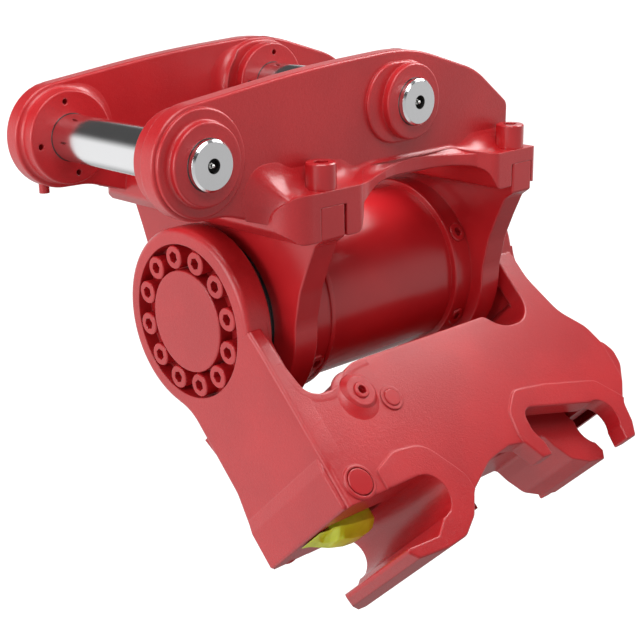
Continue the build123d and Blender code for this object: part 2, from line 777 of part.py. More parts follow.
def front_pad_corners():
    """Raised land round the front jaw."""
    return [
        (LATCH_X + 38, LATCH_Z + 6, 6),
        (FRONT_JAW_X - 20, JAW_Z + FRONT_PAD_R + 2, 34),
        (FRONT_JAW_X + 40, JAW_Z + FRONT_PAD_R - 4, 50),
        (FRONT_JAW_X + FRONT_PAD_R + 4, JAW_Z + 8, 40),
        (FRONT_JAW_X + FRONT_PAD_R + 4, JAW_Z - 100, 0),
        (FRONT_JAW_X - 150, JAW_Z - 100, 0),
        (FRONT_JAW_X - 150, JAW_Z + 20, 0),
        (LATCH_X + 38, JAW_Z + 20, 0),
    ]


def rear_pad_corners():
    """Raised land round the rear jaw."""
    return [
        (rear_jaw_x - 196, rear_jaw_z - 60, 0),
        (rear_jaw_x - 196, rear_jaw_z + 36, 10),
        (rear_jaw_x - 188, rear_jaw_z + 74, 26),
        (rear_jaw_x - 152, rear_jaw_z + 104, 26),
        (rear_jaw_x - 78, rear_jaw_z + 93, 60),
        (rear_jaw_x + 36, rear_jaw_z + 66, 40),
        (rear_jaw_x + 78, rear_jaw_z + 20, 20),
        (rear_jaw_x + 80, rear_jaw_z - 60, 0),
    ]


def rear_knob():
    """Rounded bump behind each side plate, where the rear wall is thickened."""
    back = rear_jaw_x + 112
    return [
        (back - 45, rear_jaw_z + 133, 0),
        (back + 12, rear_jaw_z + 128, 20),
        (back + 26, rear_jaw_z + 103, 24),
        (back + 23, rear_jaw_z + 76, 30),
        (back - 6, rear_jaw_z + 38, 10),
        (back - 45, rear_jaw_z + 44, 0),
    ]


def lower_body():
    """The casting of the lower half: two arms, two side plates, two jaws and their webs."""
    side = body_outline()
    full = along_y(side, -BODY_HALF, BODY_HALF)
    plates = along_y(side, side_in, BODY_HALF)
    plates = fillet(plates.faces().sort_by(Axis.Y)[-1].edges(), CAST_EDGE)
    proud = BODY_HALF + PAD_PROUD
    raised = eased(along_y(side, BODY_HALF - 8, proud), Axis.Y, CAST_EDGE)
    for pad in (
        along_y(front_pad_corners(), BODY_HALF - 7, proud),
        along_y(rear_pad_corners(), BODY_HALF - 7, proud),
    ):
        plates = plates + (raised & eased(pad, Axis.Y, CAST_EDGE - 0.5))
    plug_pad = round_y(LATCH_PLUG_R + LATCH_PLUG_LAND, BODY_HALF - 7, proud, LATCH_X, LATCH_Z)
    plates = plates + eased(plug_pad, Axis.Y, CAST_EDGE - 0.5)
    body = both_sides(plates)

    # Top skin between the plates, and the rear wall above the rear jaw
    lowered = Pos(0, 0, -SKIN) * full
    skin = (full - lowered) & block(
        neck_in - 5, rear_arm_x + 5, -side_in - 1, side_in + 1, DIP_Z - 2 * SKIN, DIP_Z + 45
    )
    body = body + skin
    forward = Pos(-SKIN, 0, 0) * full
    rear_wall = (full - forward) & block(
        rear_arm_x, rear_arm_x + 140, -side_in - 1, side_in + 1, rear_jaw_z + 22, -150
    )
    body = body + rear_wall
    knob = eased(along_y(rear_knob(), BODY_HALF - KNOB_IN - KNOB_T, BODY_HALF - KNOB_IN), Axis.Y, KNOB_EDGE)
    body = body + both_sides(knob)

    # Front jaw: its wall, its roof and the lip run through from side to side
    jaw_zone = round_y(JAW_R + JAW_WALL, -side_in - 1, side_in + 1, FRONT_JAW_X, JAW_Z)
    jaw_zone = jaw_zone + block(
        arm_in - 25, FRONT_JAW_X, -side_in - 1, side_in + 1, JAW_Z + 30, JAW_Z + JAW_R + SKIN
    )
    jaw_zone = jaw_zone + block(
        FRONT_JAW_X - 110, FRONT_JAW_X + 30, -side_in - 1, side_in + 1, JAW_Z - 90, JAW_Z - 20
    )
    body = body + (full & jaw_zone)

    # Arms
    slot_z = JAW_Z + JAW_R
    front = along_x(arm_outline(BODY_HALF, slot_z), FRONT_ARM_X, neck_in)
    front = fillet(side_edges(front.faces().sort_by(Axis.X)[0]), ARM_EDGE)
    step = [
        (FRONT_ARM_X + 4, LATCH_Z + 59, 0),
        (FRONT_ARM_X, LATCH_Z + 59, 40),
        (FRONT_ARM_X - FOOT_STEP, LATCH_Z + 36, 20),
        (FRONT_ARM_X - FOOT_STEP, slot_z, 5),
        (FRONT_ARM_X + 4, slot_z, 0),
    ]
    toe = along_y(step, -TOE_HALF, TOE_HALF)
    toe_rim = [edge for edge in toe.edges() if edge.center().X < FRONT_ARM_X - 0.5]
    toe_rim = [edge for edge in toe_rim if abs(edge.center().Y) > TOE_HALF - 1]
    front = front + fillet(toe_rim, FOOT_STEP - 1)
    front = front + arm_boss(FRONT_ARM_X, arm_in, -1)
    rear = along_x(arm_outline(BODY_HALF, rear_jaw_z + 34), rear_arm_x, rear_arm_out)
    rear = fillet(side_edges(rear.faces().sort_by(Axis.X)[-1]), CAST_EDGE)
    rear = rear & block(rear_arm_x, rear_arm_out + 1, -200, 200, rear_jaw_z + 34, 0)
    rear = rear + arm_boss(rear_arm_x, rear_arm_out, 1)
    corner = [
        (neck_in - 1, DIP_Z - 1, 0),
        (neck_in + NECK_CORNER_R, DIP_Z - 1, 0),
        (neck_in + NECK_CORNER_R, DIP_Z, 0),
        (neck_in, DIP_Z, NECK_CORNER_R - 0.2),
        (neck_in, DIP_Z + NECK_CORNER_R, 0),
        (neck_in - 1, DIP_Z + NECK_CORNER_R, 0),
    ]
    body = body + front + rear + along_y(corner, 1 - NECK_HALF, NECK_HALF - 1)

    # Jaw seats and the cut-back far corner of the lip
    for x, z in ((FRONT_JAW_X, JAW_Z), (rear_jaw_x, rear_jaw_z)):
        body = body - round_y(JAW_R, -BODY_HALF - 5, BODY_HALF + 5, x, z)
    lip_cut = [
        (FRONT_JAW_X - 115, LIP_CUT_Y, 0),
        (FRONT_JAW_X - 103, LIP_CUT_Y, 20),
        (FRONT_JAW_X - 27, BODY_HALF + 6, 0),
        (FRONT_JAW_X - 115, BODY_HALF + 6, 0),
    ]
    body = body - along_z(lip_cut, JAW_Z - 90, JAW_Z - 30)
    body = cut_arm_rings(body)
    body = cut_latch_pocket(body)
    return tilted(add_fittings(body))


def cut_arm_rings(body):
    for x, out in ((FRONT_ARM_X, -1), (rear_arm_out, 1)):
        inner = x - out * RING_BOLT_HEAD
        body = body - round_x(RING_OUT_R, x + out, inner)
        body = body - round_x(HUB_R, x + out, x - out * (ARM_T + 1))
        body = drill_ring(body, inner, out, RING_BOLT_R + 1, ARM_T)
    return body


def cut_latch_pocket(body):
    """Room for the latch and its spring, the latch pin's bore and the plugs' seats."""
    pocket = [
        (LATCH_X - LATCH_BOSS_R - 4, LATCH_Z - 60, 0),
        (LATCH_X - LATCH_BOSS_R - 4, LATCH_Z + LATCH_BOSS_R + 7, 16),
        (LATCH_X + 88, LATCH_Z + LATCH_BOSS_R + 7, 0),
        (LATCH_X + 88, LATCH_Z - 60, 0),
    ]
    body = body - along_y(pocket, -LATCH_POCKET_HALF, LATCH_POCKET_HALF)
    body = body - round_y(LATCH_PIN_R, -BODY_HALF, BODY_HALF, LATCH_X, LATCH_Z)
    seat = round_y(
        LATCH_PLUG_R + 1.5, BODY_HALF + PAD_PROUD - LATCH_PLUG, BODY_HALF + 5, LATCH_X, LATCH_Z
    )
    return body - both_sides(seat)


def add_fittings(body):
    """The port boss, the base pin's bosses and their bores, and the rail screws' holes."""
    port = Pos(PORT_X, -BODY_HALF - PORT_PROUD / 2, PORT_Z) * Rot(90, 0, 0) * Cone(
        PORT_BOSS_R + 9, PORT_BOSS_R, PORT_PROUD
    )
    body = body + port
    body = body - round_y(PORT_HOLE_R + 6, -BODY_HALF - 20, -BODY_HALF + 8, PORT_X, PORT_Z)
    collar = round_y(BASE_PIN_R + 6, BODY_HALF - 1, BODY_HALF + 2, BASE_PIN_X, LOCK_Z)
    body = body + both_sides(collar)
    body = body - round_y(BASE_PIN_R, -BODY_HALF - 5, BODY_HALF + 5, BASE_PIN_X, LOCK_Z)
    for x in rail_screw_xs():
        hole = round_y(RAIL_SCREW_R, side_in - 1, side_in + 14, x, rail_z())
        body = body - both_sides(hole)
    spot = round_x(BODY_NIPPLE_R + 1, nipple_seat_x, nipple_seat_x + 12, NIPPLE_Y, JAW_Z)
    return body - spot


def rail_z():
    return HOOK_TOP - RAIL_HIGH / 2 - 4.0


def rail_xs():
    end = rear_arm_x - RAIL_END
    return (end - RAIL_L, end)


def rail_screw_xs():
    x0, x1 = rail_xs()
    return [x0 + 25 + i * (x1 - x0 - 50) / 3 for i in range(4)]


def guide_rails():
    """Two bars on the side plates; their tongues run in the hook's grooves."""
    x0, x1 = rail_xs()
    z = rail_z()
    inner = hook_half + HOOK_FIT
    bar = block(x0, x1, inner, side_in, z - RAIL_HIGH / 2, z + RAIL_HIGH / 2)
    bar = bar + block(
        x0, x1, inner - TONGUE, side_in, z - TONGUE_HIGH / 2, z + TONGUE_HIGH / 2
    )
    for x in rail_screw_xs():
        bar = bar - round_y(RAIL_SCREW_R, inner - TONGUE - 1, side_in + 1, x, z)
        bar = bar - round_y(
            RAIL_SCREW_HEAD_R, inner - TONGUE - 1, inner - TONGUE + RAIL_SCREW_HEAD, x, z
        )
    return [tilted(bar), tilted(mirror(bar, about=Plane.XZ))]


def rail_screws():
    inner = hook_half + HOOK_FIT - TONGUE
    shank = side_in + 14 - inner - RAIL_SCREW_HEAD
    screw = socket_screw(RAIL_SCREW_HEAD_R, RAIL_SCREW_HEAD, RAIL_SCREW_R, shank)
    screws = []
    for x in rail_screw_xs():
        near = Pos(x, inner + RAIL_SCREW_HEAD, rail_z()) * Rot(90, 0, 0) * screw
        screws = screws + [tilted(near), tilted(mirror(near, about=Plane.XZ))]
    return screws


def lock_hook():
    """The sliding hook: a grooved carriage, a lug for the rod and a curved mouth."""
    tip_x = rear_jaw_x + 19
    corners = [
        (HOOK_BACK_X, HOOK_TOP, 10),
        (rear_jaw_x - 13, HOOK_TOP, 8),
        (rear_jaw_x - 13, rear_jaw_z + 40, 10),
        (rear_jaw_x - 4, rear_jaw_z + 23, 3),
        (tip_x, rear_jaw_z - 40, 2),
        (tip_x - 9, rear_jaw_z - 54, 4),
        (rear_jaw_x - 24, rear_jaw_z - 48, 22),
        (rear_jaw_x - 60, rear_jaw_z - 30, 24),
        (rear_jaw_x - 80, rear_jaw_z + 1, 24),
        (rear_jaw_x - 90, HOOK_BOTTOM, 12),
        (HOOK_BACK_X, HOOK_BOTTOM, 14),
    ]
    hook = eased(along_y(corners, -hook_half, hook_half), Axis.Y, CAST_EDGE - 1)
    mouth_z = rear_jaw_z + 10
    hook = hook - round_y(
        HOOK_MOUTH_R, -hook_half - 1, hook_half + 1, rear_jaw_x + HOOK_PAST, mouth_z
    )
    groove = block(
        HOOK_BACK_X - 1,
        rear_jaw_x + 20,
        hook_half - TONGUE - HOOK_FIT,
        hook_half + 1,
        rail_z() - TONGUE_HIGH / 2 - HOOK_FIT,
        rail_z() + TONGUE_HIGH / 2 + HOOK_FIT,
    )
    hook = hook - both_sides(groove)
    lug = [
        (lug_0, HOOK_TOP - 5, 0),
        (lug_0, LUG_TOP, 12),
        (lug_1, LUG_TOP, 12),
        (lug_1, HOOK_TOP - 5, 0),
    ]
    hook = hook + along_y(lug, -LUG_HALF, LUG_HALF)
    middle = (lug_0 + lug_1) / 2
    hook = hook - round_y(ROD_PIN_R, -LUG_HALF - 1, LUG_HALF + 1, middle, LOCK_Z)
    hook = hook - round_x(ROD_R, lug_0 - 1, lug_1 - 8, 0, LOCK_Z)
    return tilted(hook)


def lock_rod():
    middle = (lug_0 + lug_1) / 2
    rod = round_x(ROD_R, rod_piston_x(), lug_1 - 8, 0, LOCK_Z)
    rod = rod - round_y(ROD_PIN_R, -ROD_R - 1, ROD_R + 1, middle, LOCK_Z)
    return tilted(rod)


def rod_piston_x():
    """Left face of the piston with the rod all the way out."""
    return tube_1 - 2.0 - PISTON_T


def lock_piston():
    x = rod_piston_x()
    piston = round_x(TUBE_BORE_R - RUNNING, x, x + PISTON_T, 0, LOCK_Z)
    return tilted(piston - round_x(ROD_R, x - 1, x + PISTON_T + 1, 0, LOCK_Z))


def lock_cylinder_barrel():
    """Tube with a closed base and an eye for the base pin."""
    tube = round_x(TUBE_R, tube_0, tube_1, 0, LOCK_Z)
    eye = round_y(EYE_R, -EYE_HALF, EYE_HALF, BASE_PIN_X, LOCK_Z)
    neck = block(BASE_PIN_X, tube_0 + 1, -EYE_HALF, EYE_HALF, LOCK_Z - EYE_R, LOCK_Z + EYE_R)
    tube = tube + eye + neck
    tube = tube - round_x(TUBE_BORE_R, tube_0 + TUBE_END, tube_1 + 1, 0, LOCK_Z)
    return tilted(tube - round_y(BASE_PIN_R, -EYE_HALF - 1, EYE_HALF + 1, BASE_PIN_X, LOCK_Z))


def cylinder_gland():
    gland = ring(TUBE_R, ROD_R + RUNNING, tube_1, gland_1)
    return tilted(Pos(0, 0, LOCK_Z) * gland)


def cylinder_base_pin():
    end = BODY_HALF + PAD_PROUD + 1
    pin = round_y(BASE_PIN_R, -end, end, BASE_PIN_X, LOCK_Z)
    return tilted(chamfer(pin.edges().filter_by(GeomType.CIRCLE), 1.5))


def latch_outline():
    """Side of the latch from its left end under the arm round to the tip and the pivot."""
    return [
        (LATCH_X - 35, LATCH_Z - 27.5, 2),
        (LATCH_X - 18, LATCH_Z - 35, 10),
        (LATCH_X + 8, LATCH_Z - 47, 30),
        (LATCH_X + 32, LATCH_Z - 53, 30),
        (LATCH_X + 60, LATCH_Z - 54, 14),
        (LATCH_X + 72, LATCH_Z - 44, 8),
        (LATCH_X + 70, LATCH_Z - 22, 10),
        (LATCH_X + 46, LATCH_Z + 2, 16),
        (LATCH_X + 10, LATCH_Z + 15, 10),
        (LATCH_X - 14, LATCH_Z + 8, 8),
        (LATCH_X - 17, LATCH_Z - 27.5, 2),
    ]


def front_latch():
    latch = eased(along_y(latch_outline(), -LATCH_HALF, LATCH_HALF), Axis.Y, LATCH_EDGE)
    latch = latch + round_y(LATCH_BOSS_R, -LATCH_HALF, LATCH_HALF, LATCH_X, LATCH_Z)
    latch = latch - round_y(
        LATCH_PIN_R + RUNNING, -LATCH_HALF - 1, LATCH_HALF + 1, LATCH_X, LATCH_Z
    )
    return tilted(latch)


def latch_pin():
    end = BODY_HALF + PAD_PROUD - LATCH_PLUG
    return tilted(round_y(LATCH_PIN_R, -end, end, LATCH_X, LATCH_Z))


def latch_plugs():
    plug = round_y(
        LATCH_PLUG_R,
        BODY_HALF + PAD_PROUD - LATCH_PLUG,
        BODY_HALF + PAD_PROUD + 1,
        LATCH_X,
        LATCH_Z,
    )
    plug = fillet(plug.edges().group_by(Axis.Y)[-1], 1.5)
    return [tilted(plug), tilted(mirror(plug, about=Plane.XZ))]


def latch_spring():
    """Torsion spring round the latch pin, on the near side of the latch."""
    path = Helix(SPRING_WIRE_R * 2.4, SPRING_WIRE_R * 4.8, LATCH_SPRING_R)
    coil = sweep(Plane(origin=path @ 0, z_dir=path % 0) * Circle(SPRING_WIRE_R), path=path)
    place = Pos(LATCH_X, -LATCH_HALF - 2.0, LATCH_Z) * Rot(90, 0, 0)
    return tilted(place * coil)


def port_fitting():
    """A hollow adapter in the port boss."""
    fitting = round_y(PORT_HOLE_R + 6, -BODY_HALF - PORT_PROUD - 3, -BODY_HALF + 8, PORT_X, PORT_Z)
    fitting = chamfer(fitting.edges().filter_by(GeomType.CIRCLE).sort_by(Axis.Y)[0], 1.5)
    bore = round_y(PORT_HOLE_R, -BODY_HALF - PORT_PROUD - 4, -BODY_HALF + 2, PORT_X, PORT_Z)
    return tilted(fitting - bore)


def hose_lug():
    """A small drilled ear on the front dip, behind the near side plate."""
    corners = [
        (FRONT_JAW_X - 80, DIP_Z, 0),
        (FRONT_JAW_X - 76, DIP_Z + 16, 3),
        (FRONT_JAW_X - 60, DIP_Z + 20, 3),
        (FRONT_JAW_X - 50, DIP_Z, 0),
    ]
    lug = along_y(corners, -60, -52)
    return tilted(lug - round_y(2.5, -62, -50, FRONT_JAW_X - 66, DIP_Z + 9))


def body_nipple():
    return tilted(Pos(nipple_seat_x, NIPPLE_Y, JAW_Z) * Rot(0, 90, 0) * nipple(BODY_NIPPLE_R))


save("upper_bracket", upper_bracket())
save("arm_pin", machine_pin(0.0, 0.0))
save("link_pin", machine_pin(link_x, link_z))
save("pin_nipples", *pin_nipples(0.0, 0.0), *pin_nipples(link_x, link_z))
save("pin_lock_bolts", *[pin_lock_bolt(*place) for place in lock_places])
save("pin_lock_nuts", *[pin_lock_nut(x, z) for x, z, _ in lock_places])
save("bracket_bolts", *bracket_bolts())

down = Pos(0, 0, -AXIS_DROP)
save("actuator_housing", down * actuator_housing())
save("housing_plugs", *[down * plug for plug in housing_plugs()])
gear_1 = frame_1 - RING_GEAR_BACK
save("ring_gear", down * ring(BORE_R, SLEEVE_R + 0.3, gear_1 - RING_GEAR_L, gear_1))
bearing_0 = frame_0 + SEAL
bearing_1 = frame_1 - SEAL
save("front_bearing", down * ring(seat_r, DRIVE_R + RUNNING, bearing_0, frame_0 + FRAME_T))
save("rear_bearing", down * ring(seat_r, DRIVE_R + RUNNING, frame_1 - FRAME_T, bearing_1))
save("front_shaft_seal", down * ring(seal_r, DRIVE_R + RUNNING, frame_0, bearing_0))
save("rear_shaft_seal", down * ring(seal_r, DRIVE_R + RUNNING, bearing_1, frame_1))

save("actuator_shaft", actuator_shaft())
save("shaft_end_flange", shaft_end_flange())
save("front_hub_disc", hub_disc(FRONT_ARM_X, -1))
save("rear_hub_disc", hub_disc(rear_arm_out, 1))
save("front_ring_bolts", *ring_bolts(FRONT_ARM_X + RING_BOLT_HEAD, -1))
save("rear_ring_bolts", *ring_bolts(rear_arm_out - RING_BOLT_HEAD, 1))
save("lower_body", lower_body())
save("latch_pin", latch_pin())
save("latch_plugs", *latch_plugs())
save("latch_spring", latch_spring())
save("port_fitting", port_fitting())
save("hose_lug", hose_lug())
save("body_nipple", body_nipple())
save("guide_rails", *guide_rails())
save("rail_screws", *rail_screws())
save("lock_cylinder_barrel", lock_cylinder_barrel())
save("cylinder_gland", cylinder_gland())
save("cylinder_base_pin", cylinder_base_pin())

save("piston_sleeve", piston_sleeve())
save("piston_seals", *piston_seals())

save("lock_hook", lock_hook())
save("lock_rod", lock_rod())
save("lock_piston", lock_piston())
middle = (lug_0 + lug_1) / 2
save("rod_pin", tilted(round_y(ROD_PIN_R, -LUG_HALF, LUG_HALF, middle, LOCK_Z)))

save("front_latch", front_latch())
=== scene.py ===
# %% [markdown]
# A tilting quick coupler for an excavator, dressed for a studio picture.
# The CAD model comes in first as a fixed frame. Everything that is added afterwards is placed
# from that frame, in metres, so a piece always lands where the real one is bolted.

# %% Load the frame
import json
import math
import bmesh
import bpy
import numpy as np
from mathutils import Matrix, Vector


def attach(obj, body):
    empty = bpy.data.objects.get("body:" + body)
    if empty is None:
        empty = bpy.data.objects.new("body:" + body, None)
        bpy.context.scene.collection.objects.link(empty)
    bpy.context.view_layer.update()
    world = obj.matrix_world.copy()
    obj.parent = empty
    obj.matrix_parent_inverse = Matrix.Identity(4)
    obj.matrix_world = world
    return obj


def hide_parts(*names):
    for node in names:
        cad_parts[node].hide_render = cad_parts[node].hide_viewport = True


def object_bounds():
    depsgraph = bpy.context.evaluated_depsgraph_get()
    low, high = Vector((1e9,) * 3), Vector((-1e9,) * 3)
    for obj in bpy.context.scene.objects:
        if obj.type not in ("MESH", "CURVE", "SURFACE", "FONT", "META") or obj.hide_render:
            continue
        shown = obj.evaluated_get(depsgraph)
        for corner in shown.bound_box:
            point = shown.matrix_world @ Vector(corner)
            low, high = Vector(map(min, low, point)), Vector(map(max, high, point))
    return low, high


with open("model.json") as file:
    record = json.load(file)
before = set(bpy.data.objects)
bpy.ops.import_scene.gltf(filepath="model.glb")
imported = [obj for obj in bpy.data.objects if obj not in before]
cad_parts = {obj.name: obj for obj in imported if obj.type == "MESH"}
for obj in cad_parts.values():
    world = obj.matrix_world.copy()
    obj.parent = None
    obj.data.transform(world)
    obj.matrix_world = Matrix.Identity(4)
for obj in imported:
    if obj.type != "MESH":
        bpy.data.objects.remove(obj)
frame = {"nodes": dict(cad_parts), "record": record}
cad_low, cad_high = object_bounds()
nodes = frame["nodes"]
mounts = {mount["name"]: mount for mount in frame["record"]["mounts"]}
print("CAD box", [round(v, 4) for v in cad_low], [round(v, 4) for v in cad_high])

# %% [markdown]
# The camera stands low at the near left corner, so both long pins are seen almost from the end.
# Its place and its three angles were fitted to the photograph. The lens follows from the focal
# length in picture widths, because the sensor is 36 mm wide.

# %% Camera
CAMERA_AT = Vector((-1.0592, -1.5238, 0.3309))
AZIMUTH = math.radians(-43.28)
ELEVATION = math.radians(17.80)
ROLL = math.radians(-1.04)
FOCAL_PIXELS = 1308.6
PICTURE_PIXELS = 636
SENSOR_MM = 36.0


def camera_matrix():
    """The camera's place and turn. The columns are right, up and back, after the roll."""
    back = Vector((
        math.sin(AZIMUTH) * math.cos(ELEVATION),
        -math.cos(AZIMUTH) * math.cos(ELEVATION),
        math.sin(ELEVATION),
    ))
    right = Vector((math.cos(AZIMUTH), math.sin(AZIMUTH), 0.0))
    up = back.cross(right)
    rolled_right = right * math.cos(ROLL) + up * math.sin(ROLL)
    rolled_up = up * math.cos(ROLL) - right * math.sin(ROLL)
    turn = Matrix((rolled_right, rolled_up, back)).transposed()
    return Matrix.Translation(CAMERA_AT) @ turn.to_4x4()


camera_data = bpy.data.cameras.new("camera")
camera_data.sensor_width = SENSOR_MM
camera_data.lens = SENSOR_MM * (FOCAL_PIXELS / PICTURE_PIXELS)
camera_data.clip_end = 50.0
camera = bpy.data.objects.new("camera", camera_data)
camera.matrix_world = camera_matrix()
bpy.context.scene.collection.objects.link(camera)
bpy.context.scene.camera = camera
print("lens", round(camera_data.lens, 2), "mm")

# %% [markdown]
# Finishes are written as sums. A small class holds a node socket, and its operators add the Math
# nodes, so a mask reads like the formula that it is.

# %% Shader arithmetic
MIX_FACTOR = 0
MIX_FIRST = 6
MIX_SECOND = 7
MIX_RESULT = 2
BEVEL_SAMPLES = 6


class Field:
    """A number that varies over a surface; + - * and the calls below add Math nodes."""

    def __init__(self, shader, socket):
        self.shader = shader
        self.socket = socket

    def maths(self, operation, *others):
        values = [self] + list(others)
        return self.shader.add("ShaderNodeMath", {"operation": operation}, dict(enumerate(values)))

    def __add__(self, other):
        return self.maths("ADD", other)

    def __sub__(self, other):
        return self.maths("SUBTRACT", other)

    def __mul__(self, other):
        return self.maths("MULTIPLY", other)

    def __rsub__(self, other):
        return self * -1.0 + other

    def step(self, low, high):
        """0 below low, 1 above high, smooth between."""
        return self.shader.add(
            "ShaderNodeMapRange",
            {"interpolation_type": "SMOOTHSTEP"},
            {"Value": self, "From Min": low, "From Max": high},
        )


class Nodes:
    """A node tree, with one method that adds any node."""

    def __init__(self, tree):
        self.tree = tree

    def add(self, kind, settings, inputs, output=0):
        node = self.tree.nodes.new(kind)
        for name, value in settings.items():
            setattr(node, name, value)
        for name, value in inputs.items():
            self.feed(node.inputs[name], value)
        return Field(self, node.outputs[output])

    def feed(self, socket, value):
        if isinstance(value, Field):
            self.tree.links.new(value.socket, socket)
        else:
            socket.default_value = value

    def mix(self, factor, first, second):
        """A colour between two colours, by a number."""
        node = self.tree.nodes.new("ShaderNodeMix")
        node.data_type = "RGBA"
        self.feed(node.inputs[MIX_FACTOR], factor)
        self.feed(node.inputs[MIX_FIRST], first)
        self.feed(node.inputs[MIX_SECOND], second)
        return Field(self, node.outputs[MIX_RESULT])

    def axes(self, vector):
        """The three numbers of a vector."""
        split = self.add("ShaderNodeSeparateXYZ", {}, {"Vector": vector})
        return [Field(self, socket) for socket in split.socket.node.outputs]


class Finish(Nodes):
    """A material with its Principled shader, on the piece's own coordinates in metres."""

    def __init__(self, name, base, roughness, metallic=0.0, coat=0.0, coat_roughness=0.1):
        self.material = bpy.data.materials.new(name)
        self.material.use_nodes = True
        super().__init__(self.material.node_tree)
        self.surface = self.tree.nodes["Principled BSDF"]
        self.surface.inputs["Base Color"].default_value = (*base, 1.0)
        self.surface.inputs["Roughness"].default_value = roughness
        self.surface.inputs["Metallic"].default_value = metallic
        self.surface.inputs["Coat Weight"].default_value = coat
        self.surface.inputs["Coat Roughness"].default_value = coat_roughness
        self.place = self.add("ShaderNodeTexCoord", {}, {}, "Object")

    def noise(self, scale, detail=2.0, roughness=0.5):
        """Noise about 0.5, with features one over scale metres wide."""
        inputs = {"Vector": self.place, "Scale": scale, "Detail": detail, "Roughness": roughness}
        return self.add("ShaderNodeTexNoise", {}, inputs, "Fac")

    def bump(self, height, distance, strength=1.0, normal=None):
        inputs = {"Height": height, "Distance": distance, "Strength": strength}
        if normal is not None:
            inputs["Normal"] = normal
        return self.add("ShaderNodeBump", {}, inputs)

    def soft_edges(self, radius):
        """The normal, rounded off near edges as if they had this radius."""
        return self.add("ShaderNodeBevel", {"samples": BEVEL_SAMPLES}, {"Radius": radius})

    def from_y_axis(self, centre):
        """The distance from the line through centre that runs along Y."""
        x, y, z = self.axes(self.place)
        across, up = x - centre[0], z - centre[2]
        return (across * across + up * up).maths("POWER", 0.5)

    def set(self, socket, value):
        self.feed(self.surface.inputs[socket], value)


# %% [markdown]
# The castings are blasted and painted. The paint is half gloss and lies over a grainy skin, so
# highlights break up into fine sparkles. Machined parts carry the same paint over a smooth skin.
# A Bevel node rounds the normals near each edge, which gives the bright line that a cast edge has.
# The narrow clearance round each machine pin lies in shade, so a mask paints that shade black on the
# bracket: painted shade.

# %% Red paint
RED = (0.50, 0.014, 0.018)
RED_DEEP = (0.42, 0.010, 0.014)
RED_PALE = (0.60, 0.040, 0.045)
RED_DARK = (0.30, 0.008, 0.012)
GRAINS_PER_M = 400.0
LUMPS_PER_M = 170.0
# Painted shade: black in a ring out to GAP_R round each pin's axis, on the bracket.
GAP_R = 0.0363
GAP_SOFT = 0.0006
GAP_SHADE_BLACK = (0.004, 0.003, 0.003)


def red_paint(name, roughness, edge_mm, coat):
    """Red paint with soft clouds of tone, and normals rounded near the edges."""
    paint = Finish(name, RED, roughness, coat=coat, coat_roughness=0.22)
    cloud = paint.noise(7.0, 3.0)
    paint.tone = paint.mix(cloud.step(0.35, 0.7), (*RED_DEEP, 1.0), (*RED, 1.0))
    paint.set("Base Color", paint.tone)
    paint.soft = paint.soft_edges(edge_mm / 1000)
    return paint


def cast_red(name, bores=()):
    """Paint over blasted cast skin, with grains 2.5 mm apart on lumps 6 mm apart. Round the axes of the
    bores, a ring out to GAP_R is painted black, as painted shade in the clearance about each pin."""
    paint = red_paint(name, 0.40, 3.2, 0.35)
    grain = paint.noise(GRAINS_PER_M, 4.0, 0.7)
    tone = paint.mix(grain.step(0.52, 0.72) * 0.45, paint.tone, (*RED_DARK, 1.0))
    tone = paint.mix((1.0 - grain).step(0.56, 0.76) * 0.40, tone, (*RED_PALE, 1.0))
    for bore in bores:
        # Painted shade, black, in the clearance round each pin.
        pin_gap_shade = 1.0 - paint.from_y_axis(bore).step(GAP_R - GAP_SOFT, GAP_R)
        tone = paint.mix(pin_gap_shade, tone, (*GAP_SHADE_BLACK, 1.0))
    paint.set("Base Color", tone)
    paint.set("Roughness", grain * 0.25 + 0.24)
    height = grain * 0.40 + paint.noise(LUMPS_PER_M, 2.0) * 0.22
    paint.set("Normal", paint.bump(height, 0.001, 1.0, paint.soft))
    return paint.material


def smooth_red():
    """Paint over a turned skin, with only a faint flow in the paint."""
    paint = red_paint("smooth_paint", 0.27, 1.6, 0.30)
    paint.set("Normal", paint.bump(paint.noise(45.0, 2.0), 0.0004, 0.5, paint.soft))
    return paint.material


cast_paint = cast_red("cast_paint")
bracket_paint = cast_red("bracket_paint", [mounts["arm_pin"]["pos_m"], mounts["link_pin"]["pos_m"]])
smooth_paint = smooth_red()
print("red:", cast_paint.name, bracket_paint.name, smooth_paint.name)

# %% [markdown]
# The two machine pins are hard-chromed bars with turned end faces. A grease nipple sits in a recess
# # at the centre of each end. The recess lies in shade, so a mask on the distance from the pin's own
# # axis paints it black and not metal: painted shade.

# %% Machine pins
CHROME = (0.80, 0.80, 0.81)
RECESS_SHADE_BLACK = (0.008, 0.008, 0.008)
RECESS_R = 0.0102
RECESS_SOFT = 0.0004
TURNED_RINGS = 5200.0


def chrome_bar(name, centre):
    """Chrome round a Y axis through centre, painted black as shade inside RECESS_R of it."""
    pin = Finish(name, CHROME, 0.13, metallic=1.0)
    radius = pin.from_y_axis(centre)
    # Painted shade: the recess round the nipple is black and not metal.
    recess_shade = 1.0 - radius.step(RECESS_R, RECESS_R + RECESS_SOFT)
    pin.set("Base Color", pin.mix(recess_shade, (*CHROME, 1.0), (*RECESS_SHADE_BLACK, 1.0)))
    pin.set("Metallic", 1.0 - recess_shade)
    rings = (radius * TURNED_RINGS).maths("SINE")
    worn = pin.noise(35.0, 3.0)
    pin.set("Roughness", recess_shade * 0.5 + worn * 0.10 + 0.10)
    height = rings * 0.25 + pin.noise(900.0, 2.0)
    pin.set("Normal", pin.bump(height, 0.00006, 0.6, pin.soft_edges(0.0007)))
    return pin.material


arm_chrome = chrome_bar("arm_pin_chrome", mounts["arm_pin"]["pos_m"])
link_chrome = chrome_bar("link_pin_chrome", mounts["link_pin"]["pos_m"])
print("pins:", arm_chrome.name, link_chrome.name)

